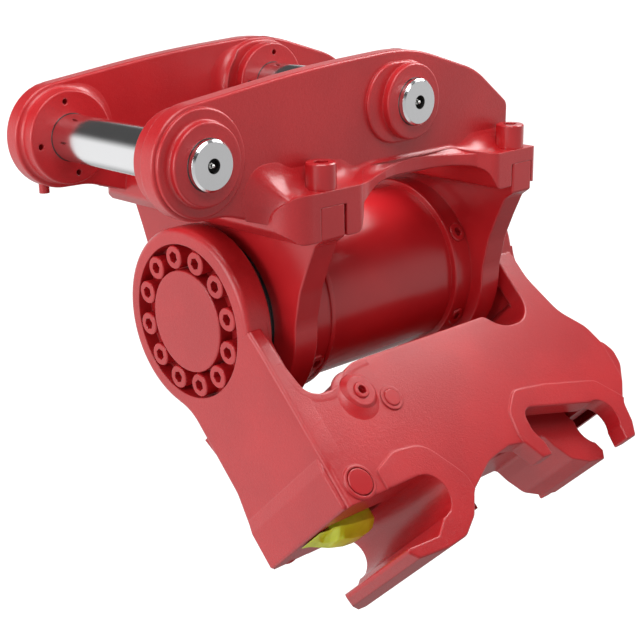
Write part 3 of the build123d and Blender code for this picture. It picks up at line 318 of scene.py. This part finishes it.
# %% [markdown]
# Most of what is left bare sits inside: the shaft and its splined sleeve, the bearings, the lock
# cylinder's rod and the guide rails. Each metal is one colour with faint marks from machining, so
# one function makes them all from a colour, a roughness and the width of the marks.

# %% Metals and rubber


def plain_metal(name, colour, roughness, grain):
    """Bare metal with faint marks one over grain metres wide."""
    metal = Finish(name, colour, roughness, metallic=1.0)
    metal.set("Roughness", metal.noise(grain, 3.0) * 0.12 + (roughness - 0.06))
    marks = metal.noise(grain * 3, 2.0)
    metal.set("Normal", metal.bump(marks, 0.0002, 0.25, metal.soft_edges(0.0008)))
    return metal.material


chrome = plain_metal("chrome", (0.80, 0.81, 0.83), 0.12, 60.0)
steel = plain_metal("steel", (0.52, 0.52, 0.54), 0.34, 220.0)
bronze = plain_metal("bronze", (0.55, 0.38, 0.20), 0.34, 220.0)
zinc = plain_metal("zinc", (0.80, 0.80, 0.78), 0.22, 300.0)

rubber_finish = Finish("rubber", (0.018, 0.018, 0.019), 0.55)
rubber_finish.set("Normal", rubber_finish.bump(rubber_finish.noise(500.0), 0.0002, 0.4))
rubber = rubber_finish.material
print("bare:", [material.name for material in (chrome, steel, bronze, zinc, rubber)])

# %% [markdown]
# The latch is a small forging in yellow-green paint, so that the driver sees it from the cab.
# Two greens that drift into each other stand for paint that lies thin and thick.

# %% The latch's paint
LATCH_GREEN = (0.64, 0.70, 0.016)
LATCH_BRIGHT = (0.74, 0.82, 0.035)


def latch_paint():
    """Yellow-green paint, softer and cleaner than the red."""
    paint = Finish("latch_paint", LATCH_GREEN, 0.34, coat=0.25, coat_roughness=0.2)
    tone = paint.mix(paint.noise(40.0).step(0.4, 0.7), (*LATCH_GREEN, 1.0), (*LATCH_BRIGHT, 1.0))
    paint.set("Base Color", tone)
    paint.set("Normal", paint.bump(paint.noise(420.0), 0.0003, 0.5, paint.soft_edges(0.002)))
    return paint.material


green_paint = latch_paint()
print("latch:", green_paint.name)

# %% [markdown]
# Every piece of the CAD model gets the finish that the real one has. A table by finish shows at a
# glance what is cast, what is turned and what is bare.

# %% Dress the CAD nodes
dress = {
    bracket_paint: ["upper_bracket"],
    cast_paint: ["lower_body", "lock_hook", "hose_lug", "lock_cylinder_barrel",
                 "front_hub_disc", "rear_hub_disc"],
    smooth_paint: ["actuator_housing", "bracket_bolts", "pin_lock_bolts", "pin_lock_nuts",
                   "housing_plugs", "front_ring_bolts", "rear_ring_bolts", "latch_plugs",
                   "port_fitting", "body_nipple", "cylinder_base_pin"],
    arm_chrome: ["arm_pin"],
    link_chrome: ["link_pin"],
    chrome: ["lock_rod"],
    steel: ["actuator_shaft", "shaft_end_flange", "ring_gear", "piston_sleeve", "lock_piston",
            "guide_rails", "rail_screws", "cylinder_gland", "latch_pin", "rod_pin", "latch_spring"],
    bronze: ["front_bearing", "rear_bearing"],
    zinc: ["pin_nipples"],
    rubber: ["front_shaft_seal", "rear_shaft_seal", "piston_seals"],
    green_paint: ["front_latch"],
}
for material, names in dress.items():
    for name in names:
        for slot in nodes[name].material_slots:
            slot.material = material
print(sum(len(names) for names in dress.values()), "nodes dressed")

# %% [markdown]
# Large soft blends are what makes a casting look cast. The CAD model has plain steps where some
# of them lie, so they are added here as closed pieces that sit on the steps. Each is a closed
# section carried along a path: the sections are worked out as one numpy array, and the side of a
# section that faces the metal lies a little inside it.

# %% Closed bars
MM = 0.001
EDGE_ANGLE = math.radians(35)
MERGE_DISTANCE = 1e-6
SIDES = ((-1, "near"), (1, "far"))


def grid_quads(rows, columns, ring_rows, ring_columns):
    """Corner numbers of the quads between neighbours on a grid, closed where it is a ring."""
    i, j = np.meshgrid(
        np.arange(rows if ring_rows else rows - 1),
        np.arange(columns if ring_columns else columns - 1),
        indexing="ij",
    )
    after, beside = (i + 1) % rows, (j + 1) % columns
    corners = [(i, j), (after, j), (after, beside), (i, beside)]
    return np.stack([(a * columns + b).ravel() for a, b in corners], axis=1).tolist()


def new_object(name, points, faces):
    """An object at the origin, in the scene, with its place in its mesh."""
    mesh = bpy.data.meshes.new(name)
    mesh.from_pydata(points.reshape(-1, 3).tolist(), [], faces)
    obj = bpy.data.objects.new(name, mesh)
    bpy.context.scene.collection.objects.link(obj)
    return obj


def finish_mesh(obj, material, body):
    """Turns the faces outwards, shades them smooth but for edges over EDGE_ANGLE, and rides."""
    shape = bmesh.new()
    shape.from_mesh(obj.data)
    bmesh.ops.remove_doubles(shape, verts=shape.verts, dist=MERGE_DISTANCE)
    bmesh.ops.recalc_face_normals(shape, faces=shape.faces)
    shape.to_mesh(obj.data)
    shape.free()
    obj.data.shade_smooth()
    obj.data.set_sharp_from_angle(angle=EDGE_ANGLE)
    obj.data.materials.append(material)
    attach(obj, body)
    print(obj.name, len(obj.data.polygons), "faces")


def bar(name, sections, material, body, ring=False):
    """A closed bar over sections[i, j, xyz] in metres. Each section is a loop. A ring joins its
    last section to its first; any other bar has a flat cap at each end."""
    rows, columns = sections.shape[:2]
    faces = grid_quads(rows, columns, ring, True)
    if not ring:
        faces.append(list(range(columns)))
        faces.append(list(range((rows - 1) * columns, rows * columns)))
    obj = new_object(name, sections, faces)
    finish_mesh(obj, material, body)
    return obj


def smooth(value, low, high):
    """0 below low, 1 above high, and smooth between, on arrays."""
    t = np.clip((value - low) / (high - low), 0.0, 1.0)
    return t * t * (3 - 2 * t)


def soften(lines, count):
    """Rounds the corners of sampled lines in place, with a bell that is count samples wide."""
    bell = np.hanning(count) / np.hanning(count).sum()
    half = count // 2
    for line in lines:
        line[half:-half] = np.convolve(line, bell, mode="valid")


def across_x(x, loop):
    """Sections across X at every x, from a loop of lines (y, z)."""
    return np.stack([np.stack([x, y, z], axis=1) for y, z in loop], axis=1)


def concave(place, along, radii, runs, sink, power, count=11):
    """Sections of a concave fillet in the corner at place, between two faces with the unit
    directions along[0] and along[1]. It touches them at radii[0] and radii[1] on the curve
    (1 - u)^power + (1 - v)^power = 1, and runs on by runs[0] and runs[1] under the faces. Each
    loop ends at a point that lies sink inside both faces."""
    t = np.linspace(0.0, math.pi / 2, count)[None, :, None]
    share = 2 / power[:, None, None]
    u = (1 - np.sin(t) ** share) * radii[0][:, None, None]
    v = (1 - np.cos(t) ** share) * radii[1][:, None, None]
    one, two = along[0][:, None], along[1][:, None]
    arc = place[:, None] + one * u + two * v
    first = arc[:, :1] + one * runs[0][:, None, None] - sink * two
    last = arc[:, -1:] + two * runs[1][:, None, None] - sink * one
    inside = place[:, None] - sink * (one + two)
    return np.concatenate([first, arc, last, inside], axis=1) * MM


# %% [markdown]
# On the upper bracket a blend runs along the foot of each ear plate, over both bolt pads and the
# narrow waist between them. Its radius follows the width of the ledge that it stands on.

# %% Blends along the base
PLATE_Y = 178.0
BASE_Z = -60.0
WAIST_Z = -47.0
PAD_X = (109.0, 255.0, 554.0, 640.0)
PAD_ROUND = 30.0
PAD_RADIUS = 29.0
PLAN_ROUND = 45.0
PLAN_Y = 185.0
PLAN_CLEAR = 0.8
FOOT_TURN = math.radians(162.8)
FOOT_DROP = 42.5
FLAT_FROM = 143.0
FULL_TURN = math.radians(126.0)
FULL_WIDE = 0.3
FULL_MORE = 5.0
WAIST_LEDGE = 5.0
WAIST_RISE = (4, 64)
WAIST_NARROW = (2, 40)
FRONT_X = (122.0, 168.0)
FRONT_UP = 17.0
FRONT_OUT = 9.0
FOOT_LEVELS = (14, 42)
FOOT_LESS = 13.0
RUN_ON = 7.0
RUN_UP_LESS = 5.0
RUN_OUT_LESS = 6.8
RUN_WAIST_LESS = 5.0
POWER = 1.8
POWER_FRONT_LESS = 0.28
POWER_FULL_LESS = 0.32
BLEND_SINK = 1.2


def over_waist(x, inside, beyond):
    """0 on the pads and 1 over the waist. It changes from inside each pad to beyond its end."""
    begins = smooth(x, PAD_X[1] - inside, PAD_X[1] + beyond)
    ends = smooth(x, PAD_X[2] - beyond, PAD_X[2] + inside)
    return begins * (1 - ends)


def base_path():
    """Places (x, z) and turns of the corner: up the round front of the pad, then along its top,
    which rises from BASE_Z to WAIST_Z over the waist and comes down again."""
    turn = np.linspace(FOOT_TURN, math.pi / 2, 24)
    x = PAD_X[0] + PAD_ROUND * (1 + np.cos(turn))
    z = BASE_Z + PAD_ROUND * (np.sin(turn) - 1)
    flat = np.linspace(FLAT_FROM, PAD_X[3], 96)
    level = BASE_Z + over_waist(flat, *WAIST_RISE) * (WAIST_Z - BASE_Z)
    x = np.concatenate([[PAD_X[0]], x, flat])
    z = np.concatenate([[BASE_Z - FOOT_DROP], z, level])
    turn = np.concatenate([[FOOT_TURN], turn, np.full_like(flat, math.pi / 2)])
    return x, z, turn


def base_blend(name, side):
    """Radii PAD_RADIUS on the pads and WAIST_LEDGE over the waist. At the front the blend reaches
    FRONT_UP further up the plate, and out only as far as the pad's rounded plan goes."""
    x, z, turn = base_path()
    narrow = over_waist(x, *WAIST_NARROW)
    radius = PAD_RADIUS - narrow * (PAD_RADIUS - WAIST_LEDGE)
    ahead = 1 - smooth(x, *FRONT_X)
    low = smooth(-z, -BASE_Z + FOOT_LEVELS[0], -BASE_Z + FOOT_LEVELS[1])
    up = radius + ahead * (FRONT_UP - FOOT_LESS * low)
    corner = np.clip(PAD_X[0] + PLAN_ROUND - x, 0, PLAN_ROUND)
    plan = np.sqrt(np.clip(PLAN_ROUND**2 - corner**2, 0, None))
    out = np.minimum(radius + ahead * FRONT_OUT, PLAN_Y + plan - PLATE_Y - PLAN_CLEAR)
    place = np.stack([x, np.full_like(x, side * PLATE_Y), z], axis=1)
    rise = np.stack([np.cos(turn), np.zeros_like(x), np.sin(turn)], axis=1)
    outward = np.tile([0.0, float(side), 0.0], (len(x), 1))
    run_up = RUN_ON - RUN_UP_LESS * ahead
    run_out = RUN_ON - RUN_OUT_LESS * ahead - RUN_WAIST_LESS * narrow
    full = np.exp(-(((turn - FULL_TURN) / FULL_WIDE) ** 2))
    power = POWER - POWER_FRONT_LESS * ahead - POWER_FULL_LESS * full
    radii = (up + FULL_MORE * full, out)
    sections = concave(place, (rise, outward), radii, (run_up, run_out), BLEND_SINK, power)
    return bar(name, sections, cast_paint, "upper")


for side, where in SIDES:
    base_blend("base_blend_" + where, side)

# %% [markdown]
# Between the bolt pads the base narrows to its waist in one long curve. This fill lies in the
# corners that the CAD plan leaves, and its top slopes down from the waist to the pads' level.

# %% Fill at the waist
WAIST_SAMPLES = 220
WAIST_BELL = 17
WAIST_LINES = (
    # x, edge of the plan, level of the edge, underside
    (248.0, 229.3, -60.6, -95.0),
    (262.0, 226.5, -60.6, -86.0),
    (275.0, 221.0, -60.6, -80.0),
    (290.0, 213.5, -60.6, -77.0),
    (306.0, 205.5, -60.2, -74.5),
    (320.0, 199.5, -59.8, -73.2),
    (340.0, 191.5, -58.6, -72.4),
    (365.0, 185.5, -55.0, -72.2),
    (385.0, 184.4, -52.0, -72.2),
    (404.0, 184.2, -50.0, -72.2),
    (430.0, 184.6, -51.0, -72.2),
    (455.0, 188.0, -53.6, -72.2),
    (480.0, 194.5, -55.4, -72.5),
    (505.0, 200.0, -57.2, -75.0),
    (528.0, 205.0, -58.6, -79.0),
    (545.0, 212.0, -59.6, -84.0),
    (556.0, 221.0, -60.6, -92.0),
    (563.0, 228.0, -60.6, -97.0),
)


def waist_fill(name, side):
    """Sections along X: top of the waist, slope, rounded edge, outer face and underside."""
    table = np.array(WAIST_LINES)
    x = np.linspace(table[0, 0], table[-1, 0], WAIST_SAMPLES)
    edge, level, under = (np.interp(x, table[:, 0], table[:, k]) for k in (1, 2, 3))
    soften((edge, level, under), WAIST_BELL)
    top = BASE_Z + 0.2 + over_waist(x, *WAIST_RISE) * (WAIST_Z - BASE_Z)
    inner = np.full_like(x, PLATE_Y + 2)
    loop = [(inner, top - 1.0), (inner + 1, top)]
    for share in np.linspace(0.15, 1.0, 8):
        ease = share * share * (3 - 2 * share)
        loop.append((inner + 1 + (edge - inner - 2.6) * share, top + (level + 0.5 - top) * ease))
    loop.append((edge - 0.4, level))
    loop.append((edge, level - 1.2))
    loop.append((edge, under + 1.5))
    loop.append((edge - 1.5, under))
    loop.append((inner, under))
    sections = across_x(x, [(side * y, z) for y, z in loop])
    return bar(name, sections * MM, cast_paint, "upper")


for side, where in SIDES:
    waist_fill("waist_fill_" + where, side)

# %% [markdown]
# Inside the ears, each pin boss flows out into its plate. Towards the tip of the ear there is
# little room, and towards the middle of the plate the blend grows wide.

# %% Blends round the inner bosses
BOSS_Y = 150.0
BOSS_HIGH = 15.0
BOSS_WIDE = 22.0
BOSS_SAMPLES = 96
ROUND_POWER = 2.0
link_place = [v / MM for v in mounts["link_pin"]["pos_m"]]


def boss_blend(name, side, centre, boss_r, back, least, most, towards):
    """A concave ring round a boss that stands on the plate's inner face: its radius is least
    away from the direction towards (radians), and most along it. The path is a circle of boss_r,
    drawn out backwards by back."""
    turn = np.linspace(0.0, 2 * math.pi, BOSS_SAMPLES, endpoint=False)
    spread = np.cos(turn - towards)
    radius = least + (most - least) * smooth(spread, 0.2, 0.95)
    out = np.stack([np.cos(turn), np.zeros_like(turn), np.sin(turn)], axis=1)
    place = np.array([centre[0], side * BOSS_Y, centre[2]]) + out * boss_r
    place[:, 0] += np.where(np.cos(turn) < -1e-6, -back, 0.0)
    inward = np.tile([0.0, -float(side), 0.0], (len(turn), 1))
    runs = (np.full_like(turn, 3.0), 2.5 + 4.5 * smooth(radius, least + 1, 16))
    radii = (np.minimum(radius, BOSS_HIGH), radius)
    power = np.full_like(turn, ROUND_POWER)
    sections = concave(place, (inward, out), radii, runs, BLEND_SINK, power)
    return bar(name, sections, cast_paint, "upper", ring=True)


for side, where in SIDES:
    boss_blend("arm_boss_blend_" + where, side, (0.0, 0.0, 0.0), 70.0, 0.0, 5.0, BOSS_WIDE, 0.1)
    boss_blend("link_boss_blend_" + where, side, link_place, 72.0, 18.0, 1.5, BOSS_WIDE, 3.3)

# %% [markdown]
# The lower half is drawn upright about the tilt axis and then swung to its place, because all of
# its faces are square to each other there. Its own Y axis is the axis of the front jaw.

# %% The lower half's own directions
tilt_z = frame["record"]["behaviour"]["joints"][0]["pos_m"][2] / MM
lean_cos, lean_sin = mounts["front_jaw"]["axis"][1:]
print("lean", round(math.degrees(math.atan2(lean_sin, lean_cos)), 1), "degrees")


def lean(points):
    """From upright millimetres about the tilt axis to the place at rest, in millimetres."""
    x, y, z = points[..., 0], points[..., 1], points[..., 2]
    return np.stack([x, y * lean_cos - z * lean_sin, y * lean_sin + z * lean_cos + tilt_z], axis=-1)


# %% [markdown]
# The near cheek of the front arm is as wide as the side plate, so that arm and plate are one
# face, with a rounded edge to the front. The far cheek stays as the CAD model has it.

# %% Arm cheek
ARM_X = 99.0
SIDE_Y = 118.0
CHEEK_Z = (-90.0, -345.0)
CHEEK_EDGE = 6.0
CHEEK_PROUD = 0.25
CHEEK_BURIED_Y = (90.0, 100.0, 92.0)
CHEEK_BACK = (
    (-345, 139), (-222, 139), (-205, 137), (-193, 133), (-184, 131), (-157, 126), (-90, 124),
)
MEETS_PLATE_Z = -222


def near_cheek():
    """A loop per height: front face, rounded edge, side face, inner edge, and back inside. The
    faces lie about a quarter of a millimetre proud, and sink into the casting at the foot."""
    z = np.linspace(*CHEEK_Z, 76)
    heights, backs = zip(*CHEEK_BACK)
    inner = np.interp(z, heights, backs)
    foot = smooth(-z, 300.0, 345.0)
    outer = SIDE_Y + CHEEK_PROUD - 2.0 * (1 - smooth(-z, 90.0, 128.0)) - 1.5 * foot
    front = ARM_X - 0.3 + 1.6 * foot
    first_y, back_y, last_y = (np.full_like(z, y) for y in CHEEK_BURIED_Y)
    loop = [(front + 0.5, first_y)]
    for angle in np.linspace(0.0, math.pi / 2, 8):
        x = front + CHEEK_EDGE * (1 - math.cos(angle))
        loop.append((x, outer - CHEEK_EDGE * (1 - math.sin(angle))))
    under = np.where(z < MEETS_PLATE_Z, 1.0, 0.0)
    loop.append((front + CHEEK_EDGE + 0.8, outer))
    loop.append((inner - 6.0, outer))
    loop.append((inner - 3.0, outer - 0.3 * under))
    loop.append((inner - 1.0, outer - 0.3 - 0.3 * under))
    loop.append((inner + 4.0 * under, outer - 1.0))
    loop.append((inner, back_y))
    loop.append((front + 6.0, last_y))
    points = np.stack([np.stack([x, -y, z], axis=1) for x, y in loop], axis=1)
    return bar("near_cheek", lean(points) * MM, cast_paint, "lower")


near_cheek()

# %% [markdown]
# Between arm and side plate the plates dip down to the height of the port. The rim of the dip is
# a smooth curve, round at the arm and long and flat at the back.

# %% Rim of the dip
DIP = (
    (124, -150), (128, -172), (130, -184), (131.5, -193), (136, -201), (144, -208.5), (157, -213.7),
    (172, -215.6), (188, -213.5), (203, -206), (215, -197), (229.5, -189), (243, -184.4), (270, -183.4),
)
RIM_DEEP = 17.0
RIM_SECTION = (
    # depth below the curve, distance from the middle plane
    (0.0, 90.0), (0.0, 117.0), (0.5, 118.0), (1.5, 118.38), (2.0, 118.38),
    (9.5, 118.38), (10.0, 118.37), (RIM_DEEP, 117.7), (RIM_DEEP, 92.0), (3.0, 88.3),
)
RIM_SAMPLES = 90
RIM_ROUNDS = 4


def dip_rim(name, side):
    """The curve through DIP, smoothed, with RIM_SECTION hanging below it at every place."""
    knots = np.array(DIP, dtype=float)
    reach = np.concatenate([[0], np.cumsum(np.hypot(*np.diff(knots, axis=0).T))])
    at = np.linspace(0, reach[-1], RIM_SAMPLES)
    x, z = (np.interp(at, reach, knots[:, k]) for k in (0, 1))
    for _ in range(RIM_ROUNDS):
        x[1:-1] = (x[:-2] + 2 * x[1:-1] + x[2:]) / 4
        z[1:-1] = (z[:-2] + 2 * z[1:-1] + z[2:]) / 4
    dx, dz = np.gradient(x), np.gradient(z)
    size = np.hypot(dx, dz)
    down_x, down_z = dz / size, -dx / size
    loop = []
    for depth, y in RIM_SECTION:
        line = [x + down_x * depth, np.full_like(x, side * y), z + down_z * depth]
        loop.append(np.stack(line, axis=1))
    return bar(name, lean(np.stack(loop, axis=1)) * MM, cast_paint, "lower")


for side, where in SIDES:
    dip_rim("dip_rim_" + where, side)

# %% [markdown]
# The port's boss stands in a low hump, because the oil channel behind it runs near the surface.

# %% Hump round the port
PORT_PLACE = (222.0, -233.0)
HUMP_HIGH = 6.5
HUMP_R = (14.0, 40.0)
HUMP_ASIDE = (-5.0, -7.0)
HUMP_LOW = 0.3
HUMP_SKIRT = 7
HUMP_UNDER = (-0.9, -1.9, -1.9)


def port_hump():
    """A ring about the port, height HUMP_HIGH falling to 0 on half a cosine between the radii."""
    r = np.linspace(HUMP_R[0], HUMP_R[1], 16)
    share = (r - HUMP_R[0]) / (HUMP_R[1] - HUMP_R[0])
    high = HUMP_HIGH * (0.5 + 0.5 * np.cos(math.pi * share)) - HUMP_LOW
    turn = np.linspace(0.0, 2 * math.pi, 72, endpoint=False)
    r = np.concatenate([r, [HUMP_R[1] + HUMP_SKIRT, HUMP_R[1], HUMP_R[0]]])
    high = np.concatenate([high, HUMP_UNDER])
    x = PORT_PLACE[0] + HUMP_ASIDE[0] + np.cos(turn)[:, None] * r
    z = PORT_PLACE[1] + HUMP_ASIDE[1] + np.sin(turn)[:, None] * r
    y = np.broadcast_to(-(SIDE_Y + high), x.shape)
    points = lean(np.stack([x, y, z], axis=2))
    return bar("port_hump", points * MM, cast_paint, "lower", ring=True)


port_hump()

# %% [markdown]
# The latch is a drop forging. Its near lower edge is a broad bevel with a thumb hollow, a ridge
# and a long shallow scoop, and its side has fine teeth for grip. The CAD latch keeps the outline;
# this one is a row of sections along it, inside the same box.

# %% Latch
TOOTH_PITCH = 2.6
TOOTH_DEEP = 0.8
TEETH_X = (104, 107, 138, 142)
BEVEL_POINTS = 9
LATCH_SAMPLES = 340
LATCH_BELL = 21
LATCH_EDGE = 2.0
LATCH_LINES = (
    # x, top, bottom, half width, bevel height, bevel width, hollow
    (102.0, -383.7, -384.4, 28.5, 0.3, 8, 0.0),
    (106.0, -383.5, -386.0, 30.0, 1.2, 14, 0.3),
    (112.0, -383.5, -388.6, 30.0, 3.0, 26, 1.6),
    (119.0, -383.5, -391.6, 30.0, 5.5, 34, 3.4),
    (124.0, -350.0, -393.8, 30.0, 9.0, 36, 4.4),
    (132.0, -345.0, -397.5, 30.0, 12.0, 32, 4.2),
    (139.0, -343.0, -400.8, 30.0, 14.5, 24, -1.8),
    (147.0, -341.5, -403.3, 30.0, 14.5, 17, 0.6),
    (165.0, -347.0, -408.0, 30.0, 16.0, 20, 2.4),
    (183.0, -355.0, -409.6, 30.0, 16.0, 20, 1.6),
    (195.0, -366.0, -409.3, 29.6, 14.0, 18, 0.0),
    (203.0, -375.0, -407.0, 28.0, 11.0, 15, -1.0),
    (207.0, -382.0, -402.5, 25.5, 7.0, 11, -1.0),
    (208.6, -389.0, -397.0, 22.0, 2.0, 6, 0.0),
)


def latch_sections():
    """One loop per x: top, near side with teeth, near bevel, bottom, far bevel and far side."""
    table = np.array(LATCH_LINES)
    x = np.linspace(table[0, 0], table[-1, 0], LATCH_SAMPLES)
    columns = [np.interp(x, table[:, 0], table[:, k]) for k in range(1, 7)]
    top, bottom, half, high, wide, hollow = columns
    soften((high, wide, hollow), LATCH_BELL)
    teeth = TOOTH_DEEP * (0.5 - 0.5 * np.cos(2 * math.pi * x / TOOTH_PITCH))
    teeth = teeth * smooth(x, *TEETH_X[:2]) * (1 - smooth(x, *TEETH_X[2:]))
    edge = np.minimum(LATCH_EDGE, 0.3 * (top - bottom))
    loop = [(half - LATCH_EDGE, top), (LATCH_EDGE - half, top), (teeth - half, top - edge)]
    loop.append((teeth - half, bottom + high + 0.6 * edge))
    for share in np.linspace(0, 1, BEVEL_POINTS):
        dip = hollow * 4 * share * (1 - share)
        loop.append((-half + wide * share + 0.7 * dip, bottom + high * (1 - share) + 0.7 * dip))
    loop.append((half - 8.0, bottom))
    loop.append((half, bottom + np.minimum(6.0, high)))
    loop.append((half, top - edge))
    return across_x(x, loop)


latch_piece = bar("latch_forging", lean(latch_sections()) * MM, green_paint, "latch")
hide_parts("front_latch")

# %% [markdown]
# The picture is taken in a white studio. Its light is full at the left and behind, weaker from
# the near side and weakest from low at the right. The ceiling is dark, with some light straight
# above. So the chrome shows a dark band over a bright one, and the undersides stay deep red.
# Softboxes stand high at the right, above and at the left, and a small flat lamp under the
# bracket lights the barrel's top. The camera sees floor and walls burnt out to pure white.

# %% Studio
FLOOR_DROP = 0.55
FLOOR_SIDE = 40.0
FLOOR_POINTS = 3
PAPER_LIGHT = 1.2
WORLD_LIGHT = 1.0
CEILING_AT = (0.08, 0.45)
CEILING_FLAG = 0.92
ZENITH_AT = (0.74, 1.0)
ZENITH_LIGHT = 0.45
NEAR_AT = (0.1, 0.8)
NEAR_FLAG = 0.45
RIGHT_AT = (-0.2, 0.5)
BELOW_AT = (0.2, 0.6)
BELOW_FLAG = 0.75
LOW_PLACE = (0.40, -0.060, -0.076)
LOW_SIZE = (0.28, 0.11)
LOW_POWER = 0.34
middle = [(a + b) / 2 for a, b in zip(cad_low, cad_high)]


def floor():
    """A flat square sheet under the object. The camera sees white paper, burnt out, and other
    rays pass through it to the light of the world, which includes what such a floor sends up."""
    side = np.linspace(-FLOOR_SIDE / 2, FLOOR_SIDE / 2, FLOOR_POINTS)
    x, y = np.meshgrid(side, side, indexing="ij")
    z = np.full_like(x, cad_low[2] - FLOOR_DROP)
    quads = grid_quads(FLOOR_POINTS, FLOOR_POINTS, False, False)
    sheet = new_object("floor", np.stack([x, y, z], axis=2), quads)
    paper = Finish("floor_paper", (0.80, 0.80, 0.80), 0.7)
    seen = paper.add("ShaderNodeLightPath", {}, {}, "Is Camera Ray")
    white = {"Color": (1.0, 1.0, 1.0, 1.0), "Strength": PAPER_LIGHT}
    glow = paper.add("ShaderNodeEmission", {}, white)
    clear = paper.add("ShaderNodeBsdfTransparent", {}, {})
    both = paper.add("ShaderNodeMixShader", {}, {0: seen, 1: clear, 2: glow})
    paper.feed(paper.tree.nodes["Material Output"].inputs["Surface"], both)
    sheet.data.materials.append(paper.material)


def area_lamp(name, place, size, power):
    """A flat rectangular lamp of size metres, which shines straight down until it is turned."""
    light = bpy.data.lights.new(name, "AREA")
    light.shape = "RECTANGLE"
    light.size, light.size_y = size
    light.energy = power
    lamp = bpy.data.objects.new(name, light)
    lamp.location = place
    bpy.context.scene.collection.objects.link(lamp)
    return lamp


def softbox(name, towards, distance, size, power):
    """A lamp of size metres, distance metres from the object's middle, in a direction."""
    place = Vector(middle) + Vector(towards).normalized() * distance
    lamp = area_lamp(name, place, size, power)
    lamp.rotation_euler = Vector(towards).to_track_quat("Z", "Y").to_euler()


def low_lamp():
    """A small flat lamp under the bracket's base, on the near side, that lights the barrel's top."""
    lamp = area_lamp("low_lamp", LOW_PLACE, LOW_SIZE, LOW_POWER)
    lamp.visible_camera = False


def walls():
    """The world: white up to a little over the horizon, a dark ceiling, grey straight above."""
    world = bpy.data.worlds.new("studio")
    bpy.context.scene.world = world
    world.use_nodes = True
    sky = Nodes(world.node_tree)
    direction = sky.add("ShaderNodeTexCoord", {}, {}, "Generated")
    x, y, height = sky.axes(direction)
    light = 1.0 - height.step(*CEILING_AT) * CEILING_FLAG
    light = light + height.step(*ZENITH_AT) * ZENITH_LIGHT
    light = light * (1.0 - (y * -1.0).step(*NEAR_AT) * NEAR_FLAG)
    light = light * (1.0 - x.step(*RIGHT_AT) * (height * -1.0).step(*BELOW_AT) * BELOW_FLAG)
    seen = sky.add("ShaderNodeLightPath", {}, {}, "Is Camera Ray")
    strength = seen * PAPER_LIGHT + (1.0 - seen) * light * WORLD_LIGHT
    background = world.node_tree.nodes["Background"]
    background.inputs["Color"].default_value = (1.0, 1.0, 1.0, 1.0)
    sky.feed(background.inputs["Strength"], strength)


floor()
walls()
softbox("key_box", (0.65, -0.15, 0.72), 2.2, (1.0, 1.0), 30.0)
softbox("top_box", (-0.30, -0.35, 1.0), 2.4, (1.6, 1.6), 44.0)
softbox("left_box", (-1.0, 0.10, 0.30), 2.4, (1.6, 1.2), 26.0)
low_lamp()
bpy.context.scene.view_settings.view_transform = "Standard"
